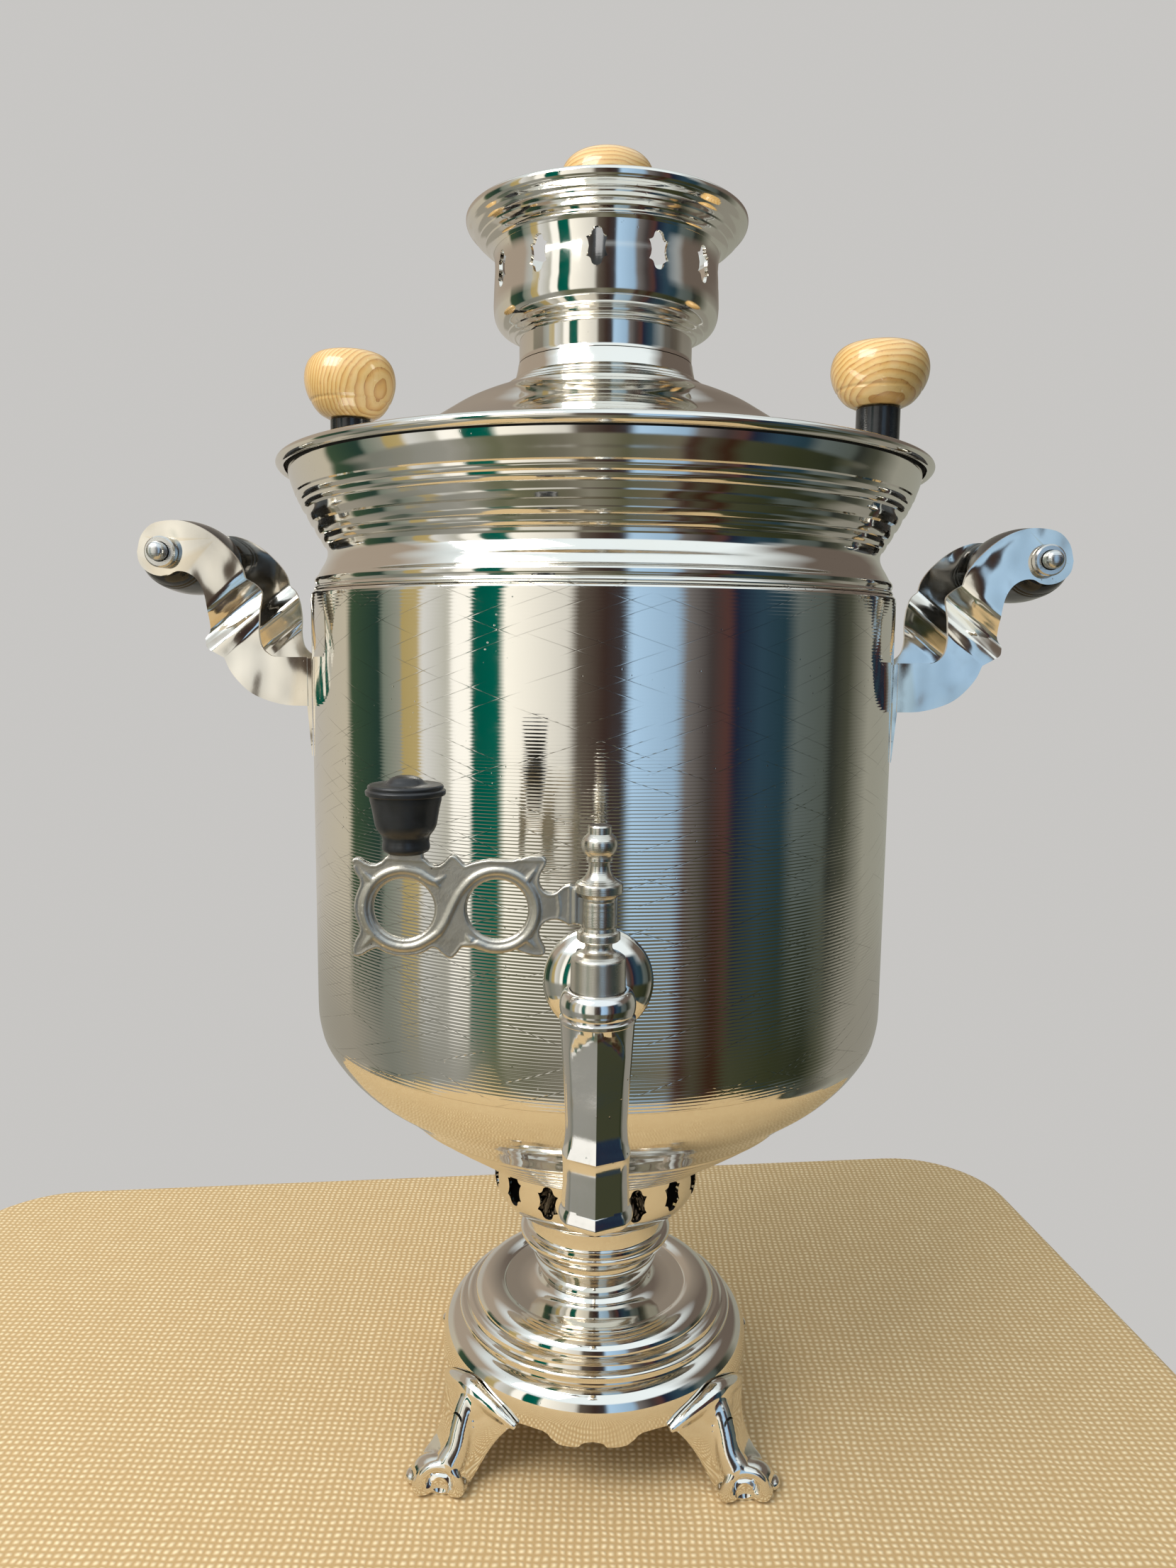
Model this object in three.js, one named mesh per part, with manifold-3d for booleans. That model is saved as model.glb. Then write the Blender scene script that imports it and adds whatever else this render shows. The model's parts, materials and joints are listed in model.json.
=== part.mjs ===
// A charcoal samovar of about five litres: a nickelled, can-shaped boiler on a footed pedestal, with a
// fire tube up its middle, a lid and a teapot crown on top, two handles and a plug tap at the front.
import * as THREE from "three";
import { mergeVertices } from "three/addons/utils/BufferGeometryUtils.js";
import Module from "manifold-3d";

const wasm = await Module();
wasm.setup();

// Driving dimensions in millimetres, +Z up, -Y the front with the tap. Heights are above the table.
const sheet = 1.2; // wall of the spun and pressed brass shells
const clearance = 0.3; // gap between pieces that touch
const slip = 0.9; // extra room round pieces that are lifted out
const overrun = 8; // how far a cutter runs past the face that it leaves

// Pedestal: a round skirt on four feet, a stepped shoulder and a waisted stem.
const skirtRadius = 57;
const cornerTabHeight = 12;
const skirtTopHeight = 36;
const pedestalTopHeight = 82;
const scallopReachShare = 0.614; // half a scallop's width over the skirt's radius
const scallopPeakHeight = 26.6;
const scallopLobeHeight = 22.2;

// Lion-paw feet, screwed to the skirt at its four corners.
const footSplay = 18; // how far the paws' middles stand out past the skirt
const pawLength = 17;
const pawWidth = 21;
const pawHeight = 13;
const toeRadius = 4.6;
const legHalfWidth = 5;
const ankleShare = 1.3; // width of the leg where it leaves the paw, over its width above
const toeLengthShare = 1.2;
const toeLiftShare = 0.8;
const kneeHeight = 24;
const footBossWidth = 26;
const footBossHeight = 22;
const footBossDepth = 10;
const footScrewRadius = 2;
const footScrewHeadRadius = 4;
const footScrewHeadHeight = 2.4;
const footScrewLength = 9;

// Vent collar: the pierced cup that lets air in under the fire and catches the ash.
const collarRadius = 37.8;
const collarHeight = 24.4;
const ventWidth = 7.2;
const ventHeight = 12;
const collarVentRise = 13.7; // middle of the openings over the collar's bottom
const collarVentCount = 15;
const collarVentTurn = THREE.MathUtils.degToRad(-2);

// Reservoir: a dished bottom, a straight wall and a waisted, flared top ring with a rolled rim.
const bodyRadius = 100;
const dishRise = 50;
const wallHeight = 147;
const topRingHeight = 41;
const rimBeadRadius = 1.6;
const rimOverhang = 10.3; // how far the rolled rim stands out past the wall

// Fire tube and grate.
const tubeMargin = 1.6; // room between the tube's foot and the collar's wall
const tubeLedge = 4.5;
const tubeDrop = 4; // how far the tube reaches down into the collar
const tubeFootLength = 17;
const tubeRise = 13.2; // how far the tube stands up past the lid
const grateThickness = 4;
const grateHoleRadius = 4.2;
const grateHoleCircleShare = 0.62;
const grateHoleCount = 6;

// Lid, its two wooden knobs on black stems, and the steam vent at its rear.
const lidBrimRise = 1.2; // height of the lid's brim over the middle of the rolled rim
const lidDomeRise = 29.8;
const lidUpstand = 4.4;
const lidTurn = THREE.MathUtils.degToRad(-8.4); // the right knob stands a little to the front
const knobInset = 12.3; // from the lid's edge to the knobs' axes
const knobRadius = 16.2;
const knobHeights = { right: 20.4, left: 22.8 }; // each is turned by hand
const knobStemRadius = 7.2;
const lidStemRise = 20.1; // top of the stems over the lid's brim
const knobScrewRadius = 2.3;
const knobScrewHeadRadius = 4.5;
const knobScrewHeadHeight = 2.6;
const knobScrewDepth = 9; // how far the screw reaches into the wood
const ventInset = 36.3; // from the lid's edge to the steam vent's axis
const ventBushRadius = 4.2;
const ventBushRise = 4;
const ventFlangeRadius = 6.5;
const ventPlugRadius = 2.4;
const ventPlugLength = 9;
const ventCapRadius = 6;
const ventCapHeight = 9;

// Crown: the pierced ring that carries the teapot, with the flue cap inside it.
const crownNeckRadius = 29.7;
const crownCupRadius = 38.2;
const crownFlare = 9.3; // how far the crown's rim stands out past its cup
const crownHeight = 47.3;
const crownLipWidth = 2.2;
const crownLipHeight = 2;
const crownVentRise = 27.3; // middle of the openings over the crown's bottom
const crownVentCount = 12;
const crownVentTurn = THREE.MathUtils.degToRad(-5);
const crownNeckShare = 0.18; // height of the straight neck over the crown's height
const capOverhang = 3.4; // how far the cap's disc reaches over the tube's edge
const capRise = 5;
const capSkirtLength = 7;
const capStemLength = 28.7;
const capKnobRadius = 16;
const capKnobHeight = 21;

// Handles: four pressed ears with a folded groove, two pins with nuts, and two black turned grips.
const gripStandoff = 44.5; // from the wall to the grip's axis
const gripRise = 12.3; // the grip's axis over the top of the wall
const earSpacing = 55;
const earThickness = 1.6;
const foldHalfWidth = 5.7;
const foldDepth = 4;
const foldAngle = THREE.MathUtils.degToRad(38.5);
const flangeThickness = 1.6;
const flangeWidth = 14;
const flangeDrop = 34.1; // top of the ear's flange under the grip's axis
const flangeLength = 32.5;
const pinRadius = 3;
const pinOverhang = 8.2; // length of the pin past the ear's outer face
const pinTipShare = 0.3;
const nutRadius = 5.1;
const nutThickness = 3.2;
const gripRadius = 12.6;

// Tap: a body with its shank and spout, a turning plug, and the flat key with its black knob.
const tapStandoff = 55; // from the wall to the plug's axis
const tapRise = 38.7; // middle of the shank over the foot of the wall
const tapHeadRise = 15; // top of the tap's body over the shank
const spoutLength = 55; // from the top of the tap's body to the spout's mouth
const tapRingHeight = 6;
const spoutHalfWidth = 7.3;
const spoutBoreRadius = 4.6;
const tapRingRadius = 8.7;
const shankRadius = 6;
const shankBoreRadius = 3.4;
const shankTail = 12; // length of the shank inside the reservoir
const rosetteRadius = 15.3;
const rosetteRise = 7;
const gasketRadius = 10;
const gasketThickness = 2;
const tapNutRadius = 11;
const tapNutThickness = 5;
const nutSides = 6;
const plugRadius = 6.2;
const plugTipRadius = 4.3;
const plugSeatDepth = 24.5;
const plugParallelDepth = 6;
const plugPortRadius = 2.5;
const plugHeight = 37.4; // from the top of the tap's body to the finial
const barrelShare = 0.65;
const keyLength = 55;
const keyThickness = 3.2;
const keyHalfHeight = 12;
const keyPlaceShare = 0.48; // middle of the key on the plug's height
const keyTangHeight = 6.4;
const keyHoleRadius = 6.8;
const keyKnobRadius = 8.85;
const keyKnobHeight = 17.1;
const keyKnobGap = 0.7; // from the key's upper edge to the knob
const keyStalkShare = 0.7825; // place of the stalk on the key's length
const keyStalkWidth = 7.2;
const keyStalkDepth = 8; // how far the stalk reaches up into the knob

// Sides of the round pieces, by size.
const roundSides = 36;
const neckSides = 24;
const turnedSides = 20;
const smallSides = 12;
const bossSides = 10;
const toeSides = 8;
const toeBands = 5;

// Radii and reaches that follow from the sizes above.
const rimOuterRadius = bodyRadius + rimOverhang;
const scallopHalfWidth = scallopReachShare * skirtRadius;
const footContactRadius = skirtRadius + footSplay;
const crownRimRadius = crownCupRadius + crownFlare;
const tubeFootRadius = collarRadius - sheet - tubeMargin;
const tubeTopRadius = crownNeckRadius - sheet - slip;
const capDiscRadius = tubeTopRadius + capOverhang;
const gripAxisReach = bodyRadius + gripStandoff;
const tapReach = bodyRadius + tapStandoff;
const barrelRadius = barrelShare * plugRadius;

// Levels of the shells, one on the other.
const collarBottom = pedestalTopHeight + clearance;
const collarTop = collarBottom + collarHeight;
const dishBottom = collarTop + clearance;
const dishTop = dishBottom + dishRise;
const wallBottom = dishTop + clearance;
const wallTop = wallBottom + wallHeight;
const ringBottom = wallTop + clearance;
const ringTop = ringBottom + topRingHeight;
const lidBrim = ringTop + lidBrimRise;
const lidTop = lidBrim + lidDomeRise + lidUpstand;
const crownBottom = lidTop + clearance;
const crownTop = crownBottom + crownHeight;
const tubeTop = lidTop + tubeRise;
const lidStemTop = lidBrim + lidStemRise;
const tapHeight = wallBottom + tapRise;
const tapTop = tapHeight + tapHeadRise;
const spoutMouth = tapTop - spoutLength;
const keyMiddle = tapTop + keyPlaceShare * plugHeight;
const keyKnobBottom = keyMiddle + keyHalfHeight + keyKnobGap;
const gripAxisHeight = wallTop + gripRise;
const flangeTop = gripAxisHeight - flangeDrop;
const flangeTail = flangeTop - flangeLength;

// Finishes, as the metal, wood and plastic look in daylight.
const finishes = {
  nickel: { color: "#c9c2b4", roughness: 0.12, metalness: 1 },
  brushedNickel: { color: "#b5b0a5", roughness: 0.3, metalness: 1 },
  castNickel: { color: "#a39b8c", roughness: 0.42, metalness: 1 },
  steel: { color: "#b9b9b6", roughness: 0.3, metalness: 1 },
  tinnedBrass: { color: "#b3a685", roughness: 0.4, metalness: 1 },
  castIron: { color: "#3a3836", roughness: 0.8, metalness: 0.6 },
  wood: { color: "#d9a562", roughness: 0.35, metalness: 0 },
  blackPlastic: { color: "#141414", roughness: 0.3, metalness: 0 },
  rubber: { color: "#2a2a2a", roughness: 0.9, metalness: 0 },
};

// Solids: a closed geometry goes to the boolean library and comes back as a geometry.
function solidOf(geometry) {
  const bare = geometry.clone();
  bare.deleteAttribute("normal");
  bare.deleteAttribute("uv");
  const merged = mergeVertices(bare);
  const vertProperties = merged.attributes.position.array;
  const triVerts = new Uint32Array(merged.index.array);
  return new wasm.Manifold(new wasm.Mesh({ numProp: 3, vertProperties, triVerts }));
}

function geometryOf(solid) {
  const { vertProperties, triVerts } = solid.getMesh();
  const geometry = new THREE.BufferGeometry();
  geometry.setAttribute("position", new THREE.BufferAttribute(vertProperties, 3));
  geometry.setIndex(new THREE.BufferAttribute(triVerts, 1));
  geometry.computeVertexNormals();
  return geometry;
}

function join(...geometries) {
  return geometryOf(geometries.map(solidOf).reduce((whole, next) => whole.add(next)));
}

function cut(geometry, ...cutters) {
  return geometryOf(cutters.map(solidOf).reduce((rest, next) => rest.subtract(next), solidOf(geometry)));
}

function common(first, second) {
  return geometryOf(solidOf(first).intersect(solidOf(second)));
}

// A closed outline of [radius, height] points, counter-clockwise, turned about the vertical axis.
function turned(outline, sides) {
  const points = outline.map(([radius, height]) => new THREE.Vector2(radius, height));
  return new THREE.LatheGeometry(points, sides).rotateX(Math.PI / 2);
}

// A sheet of even wall whose outer face runs along the outline, with the hollow on its left side.
function turnedSheet(outline, wall, sides) {
  const points = outline.map(([radius, height]) => new THREE.Vector2(radius, height));
  const inner = points.map((point, i) => {
    const steps = [];
    if (i > 0) steps.push(point.clone().sub(points[i - 1]).normalize());
    if (i < points.length - 1) steps.push(points[i + 1].clone().sub(point).normalize());
    const left = steps.map((step) => new THREE.Vector2(-step.y, step.x));
    const middle = left.reduce((sum, next) => sum.clone().add(next)).normalize();
    const inset = point.clone().addScaledVector(middle, wall / middle.dot(left[0]));
    if (steps.length > 1) return [inset.x, inset.y];
    const steep = Math.abs(middle.x) > Math.abs(middle.y);
    return steep ? [point.x + wall / middle.x, point.y] : [point.x, inset.y];
  });
  const closing = outline[0][0] > 0 ? [outline[0]] : [];
  return turned([...outline, ...inner.reverse(), ...closing], sides);
}

// A solid or bored bar about the vertical axis.
function bar(radius, bottom, top, sides = smallSides) {
  return turned([[0, bottom], [radius, bottom], [radius, top], [0, top]], sides);
}

function ring(inner, outer, bottom, top, sides = smallSides) {
  return turned([[inner, bottom], [outer, bottom], [outer, top], [inner, top], [inner, bottom]], sides);
}

// Outlines whose points are shares of a radius and of a rise from a base height.
function scaled(shares, radius, rise, base, innerRadius = 0) {
  return shares.map(([across, up]) => [innerRadius + across * (radius - innerRadius), base + up * rise]);
}

// A flat outline of [x, z] points as a plate of the given depth, its middle at y = 0.
function plate(outline, depth, holes = []) {
  const points = outline.map(([x, z]) => new THREE.Vector2(x, z));
  if (THREE.ShapeUtils.isClockWise(points)) points.reverse();
  const shape = new THREE.Shape(points);
  holes.forEach(([x, z, radius]) => {
    shape.holes.push(new THREE.Path().absarc(x, z, radius, 0, 2 * Math.PI, true));
  });
  const settings = { depth, bevelEnabled: false, curveSegments: smallSides / 2 };
  return new THREE.ExtrudeGeometry(shape, settings).translate(0, 0, -depth / 2).rotateX(Math.PI / 2);
}

// A bar with closed ends whose sections follow stations of centre [x, z] and half sizes [depth, width].
function taperedBar(stations, sides) {
  const unit = new THREE.CylinderGeometry(1, 1, 1, sides, stations.length - 1);
  const place = unit.attributes.position;
  for (let i = 0; i < place.count; i += 1) {
    const station = stations[Math.round((place.getY(i) + 1 / 2) * (stations.length - 1))];
    const [x, z, depth, width] = station;
    place.setXYZ(i, x + place.getX(i) * depth, place.getZ(i) * -width, z);
  }
  return unit;
}

function aroundY(geometry) {
  return geometry.rotateX(Math.PI / 2);
}

// Meshes and the bodies that move together.
const samovar = new THREE.Group();

function addPiece(name, geometry, finish) {
  const mesh = new THREE.Mesh(geometry, new THREE.MeshStandardMaterial(finishes[finish]));
  mesh.name = name;
  samovar.add(mesh);
  return mesh;
}

// The pierced opening: round ends, two pairs of pointed cusps and a waist.
const ventShares = [[0, 1], [1, 0.5], [0.72, 0]];

function ventCutters(count, radius, height, firstAngle) {
  const quarter = ventShares.map(([x, z]) => [(x * ventWidth) / 2, (z * ventHeight) / 2]);
  const right = [...quarter, ...quarter.slice(0, -1).reverse().map(([x, z]) => [x, -z])];
  const outline = [...right, ...right.slice(1, -1).reverse().map(([x, z]) => [-x, z])];
  return Array.from({ length: count }, (_, i) =>
    plate(outline, 2 * overrun)
      .translate(0, -radius, height)
      .rotateZ(firstAngle + (2 * Math.PI * i) / count),
  );
}

// Pedestal.
const stemShares = [
  [1, 0], [0.956, 0.065], [0.886, 0.083], [0.789, 0.2], [0.667, 0.265], [0.544, 0.304], [0.439, 0.38],
  [0.404, 0.54], [0.439, 0.7], [0.439, 0.783], [0.41, 0.85], [0.5, 1],
];
const scallopShares = [
  [0, 0.52], [0.2, 0], [0.37, 0.3], [0.6, 1], [0.8, 0.75], [0.94, -0.5], [1, -2.4],
];

function makePedestal() {
  const stem = scaled(stemShares, skirtRadius, pedestalTopHeight - skirtTopHeight, skirtTopHeight);
  const shell = turnedSheet([[skirtRadius, cornerTabHeight], ...stem], sheet, neckSides);
  const rise = scallopPeakHeight - scallopLobeHeight;
  const right = scaled(scallopShares, scallopHalfWidth, rise, scallopLobeHeight);
  const left = right.slice(1).reverse().map(([x, z]) => [-x, z]);
  const floor = cornerTabHeight - overrun;
  const edge = [[-scallopHalfWidth, floor], ...left, ...right, [scallopHalfWidth, floor]];
  const across = plate(edge, 2 * (skirtRadius + overrun));
  const holes = footAngles.map((angle) => footScrewBore(footScrewRadius + clearance).rotateZ(angle));
  return cut(shell, across, across.clone().rotateZ(Math.PI / 2), ...holes);
}

// Feet.
const footNames = ["front_right", "rear_right", "rear_left", "front_left"];
const footAngles = footNames.map((_, i) => (i * Math.PI) / 2 - Math.PI / 4);
const footScrewHeight = kneeHeight;

function footScrewBore(radius) {
  const start = skirtRadius - sheet - overrun;
  const end = skirtRadius + footScrewLength;
  return bar(radius, start, end, smallSides / 2).rotateY(Math.PI / 2).translate(0, 0, footScrewHeight);
}

function makeFoot() {
  const ankle = (pawHeight + kneeHeight) / 2;
  const toeLine = footContactRadius + pawLength / 2 - toeRadius;
  const leg = taperedBar(
    [
      [footContactRadius, 0, pawLength / 2 - toeRadius, pawWidth / 2 - toeRadius],
      [footContactRadius, pawHeight / 2, pawLength / 2 - toeRadius / 2, pawWidth / 2 - toeRadius / 2],
      [footContactRadius - toeRadius / 2, pawHeight, legHalfWidth, legHalfWidth * ankleShare],
      [footContactRadius - 2 * toeRadius, ankle, legHalfWidth, legHalfWidth],
      [skirtRadius + toeRadius, kneeHeight, legHalfWidth, legHalfWidth],
      [skirtRadius, kneeHeight + legHalfWidth, legHalfWidth, legHalfWidth],
    ],
    smallSides / 2,
  );
  const toes = [-1, 1].map((side) =>
    new THREE.SphereGeometry(toeRadius, toeSides, toeBands)
      .scale(toeLengthShare, 1, 1)
      .translate(toeLine, side * (pawWidth / 2 - toeRadius), toeRadius * toeLiftShare),
  );
  const boss = new THREE.SphereGeometry(1, bossSides, smallSides / 2)
    .scale(footBossDepth / 2, footBossWidth / 2, footBossHeight / 2)
    .translate(skirtRadius, 0, kneeHeight);
  const inside = bar(skirtRadius + clearance, -overrun, skirtTopHeight + overrun, neckSides);
  // The skirt's flats lie round its corners, so the cutter is turned to the same place as the skirt.
  inside.rotateZ(-footAngles[0]);
  const table = bar(footContactRadius + pawLength + overrun, -2 * overrun, 0, smallSides);
  const thread = footScrewBore(footScrewRadius + clearance);
  return cut(join(leg, boss, ...toes), inside, table, thread);
}

function makeFootScrew() {
  const seat = (skirtRadius - sheet) * Math.cos(Math.PI / neckSides) - clearance;
  const outline = [
    [0, seat - footScrewHeadHeight], [footScrewHeadRadius, seat - footScrewHeadHeight],
    [footScrewHeadRadius, seat], [footScrewRadius, seat],
    [footScrewRadius, skirtRadius + footScrewLength - clearance],
    [0, skirtRadius + footScrewLength - clearance],
  ];
  return turned(outline, smallSides / 2).rotateY(Math.PI / 2).translate(0, 0, footScrewHeight);
}

footNames.forEach((name, i) => {
  addPiece("foot_" + name, makeFoot(), "nickel").rotation.z = footAngles[i];
  addPiece("foot_screw_" + name, makeFootScrew(), "steel").rotation.z = footAngles[i];
});
addPiece("pedestal", makePedestal(), "nickel");

// Vent collar.
const collarShares = [[0, 0], [0.72, 0], [0.84, 0.05], [0.955, 0.21], [1, 0.4], [1, 1]];

function makeCollar() {
  const outline = scaled(collarShares, collarRadius, collarHeight, collarBottom);
  const ventMiddle = collarBottom + collarVentRise;
  const vents = ventCutters(collarVentCount, collarRadius, ventMiddle, collarVentTurn);
  return cut(turnedSheet(outline, sheet, neckSides), ...vents);
}

addPiece("vent_collar", makeCollar(), "nickel");

// Reservoir.
const dishShares = [[0.462, 0], [0.56, 0.14], [0.79, 0.506], [0.888, 0.666], [0.956, 0.82], [0.993, 1]];
const wallShares = [[0.993, 0], [1, 0.048], [1, 1]];
const ringShares = [
  [0.978, 0], [0.973, 0.14], [0.937, 0.3], [0.985, 0.5], [1.047, 0.797], [1.064, 0.91], [1.064, 0.966],
];

function tapHole(radius, sides) {
  const drill = bar(radius, -tapReach, -bodyRadius / 2, sides).rotateX(Math.PI);
  return aroundY(drill).translate(0, 0, tapHeight);
}

function bodyCylinder(radius) {
  return bar(radius, dishBottom, ringTop, roundSides);
}

function makeDish() {
  const outline = scaled(dishShares, bodyRadius, dishRise, dishBottom);
  return turnedSheet([[tubeFootRadius + clearance, dishBottom], ...outline], sheet, roundSides);
}

function makeWall() {
  const shell = turnedSheet(scaled(wallShares, bodyRadius, wallHeight, wallBottom), sheet, roundSides);
  return cut(shell, tapHole(shankRadius + clearance, turnedSides));
}

function makeTopRing() {
  const beadRadius = rimOuterRadius - rimBeadRadius;
  const flare = scaled(ringShares, bodyRadius, topRingHeight, ringBottom);
  const bead = new THREE.Path().absarc(beadRadius, ringTop, rimBeadRadius, 0, 2 * Math.PI, false);
  const beadOutline = bead.getPoints(smallSides / 4).map((point) => [point.x, point.y]);
  beadOutline[beadOutline.length - 1] = beadOutline[0];
  const sheetRing = turnedSheet([...flare, [beadRadius, ringTop]], sheet, roundSides);
  return join(sheetRing, turned(beadOutline, roundSides));
}

addPiece("reservoir_bottom", makeDish(), "nickel");
addPiece("reservoir_wall", makeWall(), "nickel");
addPiece("reservoir_top_ring", makeTopRing(), "nickel");

// Fire tube and grate.
const tubeBottom = dishBottom - tubeDrop;

function makeFireTube() {
  const outline = [
    [tubeFootRadius - tubeLedge, tubeBottom],
    [tubeFootRadius, tubeBottom],
    [tubeFootRadius, tubeBottom + tubeFootLength],
    [tubeTopRadius, lidTop - lidUpstand],
    [tubeTopRadius, tubeTop],
  ];
  return turnedSheet(outline, sheet, neckSides);
}

function makeGrate() {
  const bottom = tubeBottom + sheet + clearance;
  const radius = tubeFootRadius - sheet - 2 * clearance;
  const hole = bar(grateHoleRadius, bottom - overrun, bottom + overrun, smallSides / 2);
  const holes = Array.from({ length: grateHoleCount }, (_, i) =>
    hole.clone().translate(radius * grateHoleCircleShare, 0, 0).rotateZ((2 * Math.PI * i) / grateHoleCount),
  );
  return cut(bar(radius, bottom, bottom + grateThickness, turnedSides), hole, ...holes);
}

addPiece("fire_tube", makeFireTube(), "tinnedBrass");
addPiece("grate", makeGrate(), "castIron");

// Lid: its skirt drops into the flare of the top ring until it meets the slope.
const [slopeLow, slopeHigh] = scaled(ringShares.slice(4, 6), bodyRadius, topRingHeight, ringBottom);
const lidRadius = slopeHigh[0] - sheet - slip;
const slopeShare = (lidRadius + sheet + 2 * clearance - slopeLow[0]) / (slopeHigh[0] - slopeLow[0]);
const lidSkirtBottom = slopeLow[1] + slopeShare * (slopeHigh[1] - slopeLow[1]);
const knobCircleRadius = lidRadius - knobInset;
const ventCircleRadius = lidRadius - ventInset;
const upstandRadius = tubeTopRadius + slip + clearance + sheet;
const lidShares = [[0.99, 0], [0.6, 0.205], [0.4315, 0.4], [0.284, 0.635], [0.149, 0.8], [0.02, 0.96]];

function lidOutline() {
  return [
    [lidRadius, lidSkirtBottom],
    [lidRadius, lidBrim - sheet / 2],
    ...scaled(lidShares, lidRadius, lidDomeRise, lidBrim, upstandRadius),
    [upstandRadius, lidBrim + lidDomeRise],
    [upstandRadius, lidTop],
  ];
}

function lidHeightAt(radius) {
  const outline = lidOutline();
  const next = outline.findIndex(([across]) => across < radius);
  const [[fromRadius, fromHeight], [toRadius, toHeight]] = [outline[next - 1], outline[next]];
  return fromHeight + ((radius - fromRadius) / (toRadius - fromRadius)) * (toHeight - fromHeight);
}

// What stands on the lid ends a gap above its sloping face.
function trimmedToLid(geometry) {
  const below = lidOutline().map(([radius, height]) => [radius, height + clearance]);
  const filled = turned([[0, lidSkirtBottom], ...below, [0, lidTop + clearance]], roundSides);
  return cut(geometry, filled.rotateZ(-lidTurn));
}

const knobPlaces = [["right", knobCircleRadius], ["left", -knobCircleRadius]];
const lidBody = new THREE.Group();
lidBody.rotation.z = lidTurn;
samovar.add(lidBody);

function makeLid() {
  const knobHoles = knobPlaces.map(([, x]) =>
    bar(knobScrewRadius + clearance, lidSkirtBottom, lidTop, smallSides / 2).translate(x, 0, 0),
  );
  const ventHole = bar(ventBushRadius + clearance, lidSkirtBottom, lidTop);
  ventHole.translate(0, ventCircleRadius, 0);
  const shell = turnedSheet(lidOutline(), sheet, roundSides).rotateZ(-lidTurn);
  return cut(shell, ...knobHoles, ventHole);
}

function makeStem(x, top) {
  const foot = lidHeightAt(knobCircleRadius) - knobStemRadius;
  const stem = ring(knobScrewRadius + clearance, knobStemRadius, foot, top).translate(x, 0, 0);
  return trimmedToLid(stem);
}

const knobShares = [[0.5, 0], [0.86, 0.17], [1, 0.48], [0.9, 0.78], [0.58, 0.97], [0, 1]];

// A squashed wooden ball with a blind bore for its screw.
function makeKnob(radius, height, bottom, boreDepth) {
  const ball = turned([[0, bottom], ...scaled(knobShares, radius, height, bottom)], turnedSides);
  return cut(ball, bar(knobScrewRadius + clearance, bottom - overrun, bottom + boreDepth, smallSides / 2));
}

function makeScrew(headTop, top) {
  const outline = [
    [0, headTop - knobScrewHeadHeight], [knobScrewHeadRadius, headTop - knobScrewHeadHeight],
    [knobScrewHeadRadius, headTop], [knobScrewRadius, headTop], [knobScrewRadius, top], [0, top],
  ];
  return turned(outline, smallSides / 2);
}

function addToLid(name, geometry, finish) {
  lidBody.add(addPiece(name, geometry, finish));
}

addToLid("lid", makeLid(), "nickel");
knobPlaces.forEach(([side, x]) => {
  const knobBottom = lidStemTop + clearance;
  const headTop = lidHeightAt(knobCircleRadius + knobScrewHeadRadius) - sheet - 2 * clearance;
  const knob = makeKnob(knobRadius, knobHeights[side], knobBottom, knobScrewDepth + clearance);
  const screw = makeScrew(headTop, knobBottom + knobScrewDepth);
  addToLid("lid_stem_" + side, makeStem(x, lidStemTop), "blackPlastic");
  addToLid("lid_knob_" + side, knob.translate(x, 0, 0), "wood");
  addToLid("lid_knob_screw_" + side, screw.translate(x, 0, 0), "steel");
});

// Steam vent: a bush through the lid and a small plug that is lifted out of it.
const ventSurface = lidHeightAt(ventCircleRadius - ventFlangeRadius);
const bushTop = ventSurface + ventBushRise;

function makeVentBush() {
  const bore = ventPlugRadius + clearance;
  const bottom = lidHeightAt(ventCircleRadius + ventBushRadius) - sheet - ventBushRise;
  const tube = ring(bore, ventBushRadius, bottom, bushTop);
  const flangeFoot = lidHeightAt(ventCircleRadius + ventFlangeRadius) - sheet;
  const flange = trimmedToLid(
    ring(bore, ventFlangeRadius, flangeFoot, bushTop).translate(0, ventCircleRadius, 0),
  );
  return join(tube.translate(0, ventCircleRadius, 0), flange);
}

const ventCapShares = [[1, 0], [1, 0.2], [0.5, 0.38], [0.3, 0.48], [0.62, 0.66], [0.62, 0.86], [0, 1]];

function makeVentCap() {
  const bottom = bushTop + clearance;
  const outline = [
    [0, bottom - ventPlugLength], [ventPlugRadius, bottom - ventPlugLength], [ventPlugRadius, bottom],
    ...scaled(ventCapShares, ventCapRadius, ventCapHeight, bottom),
  ];
  return turned(outline, smallSides).translate(0, ventCircleRadius, 0);
}

addToLid("steam_vent_bush", makeVentBush(), "brushedNickel");
addToLid("steam_vent_cap", makeVentCap(), "brushedNickel");

// Crown.
const crownCupShares = [
  [0.916, 0.235], [0.982, 0.32], [1, 0.42], [0.995, 0.7], [1.03, 0.8], [1.12, 0.885],
];

function makeCrown() {
  const cup = scaled(crownCupShares, crownCupRadius, crownHeight, crownBottom);
  const neckTop = crownBottom + crownNeckShare * crownHeight;
  const neck = [[crownNeckRadius, crownBottom], [crownNeckRadius, neckTop]];
  const lipFoot = crownTop - crownLipHeight;
  const shell = turnedSheet([...neck, ...cup, [crownRimRadius, lipFoot]], sheet, neckSides);
  const lipInner = crownRimRadius - crownLipWidth;
  const lip = ring(lipInner, crownRimRadius, lipFoot - sheet / 2, crownTop, neckSides);
  const ventMiddle = crownBottom + crownVentRise;
  const vents = ventCutters(crownVentCount, crownCupRadius, ventMiddle, crownVentTurn);
  return cut(join(shell, lip), ...vents);
}

addPiece("crown", makeCrown(), "nickel");

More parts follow.
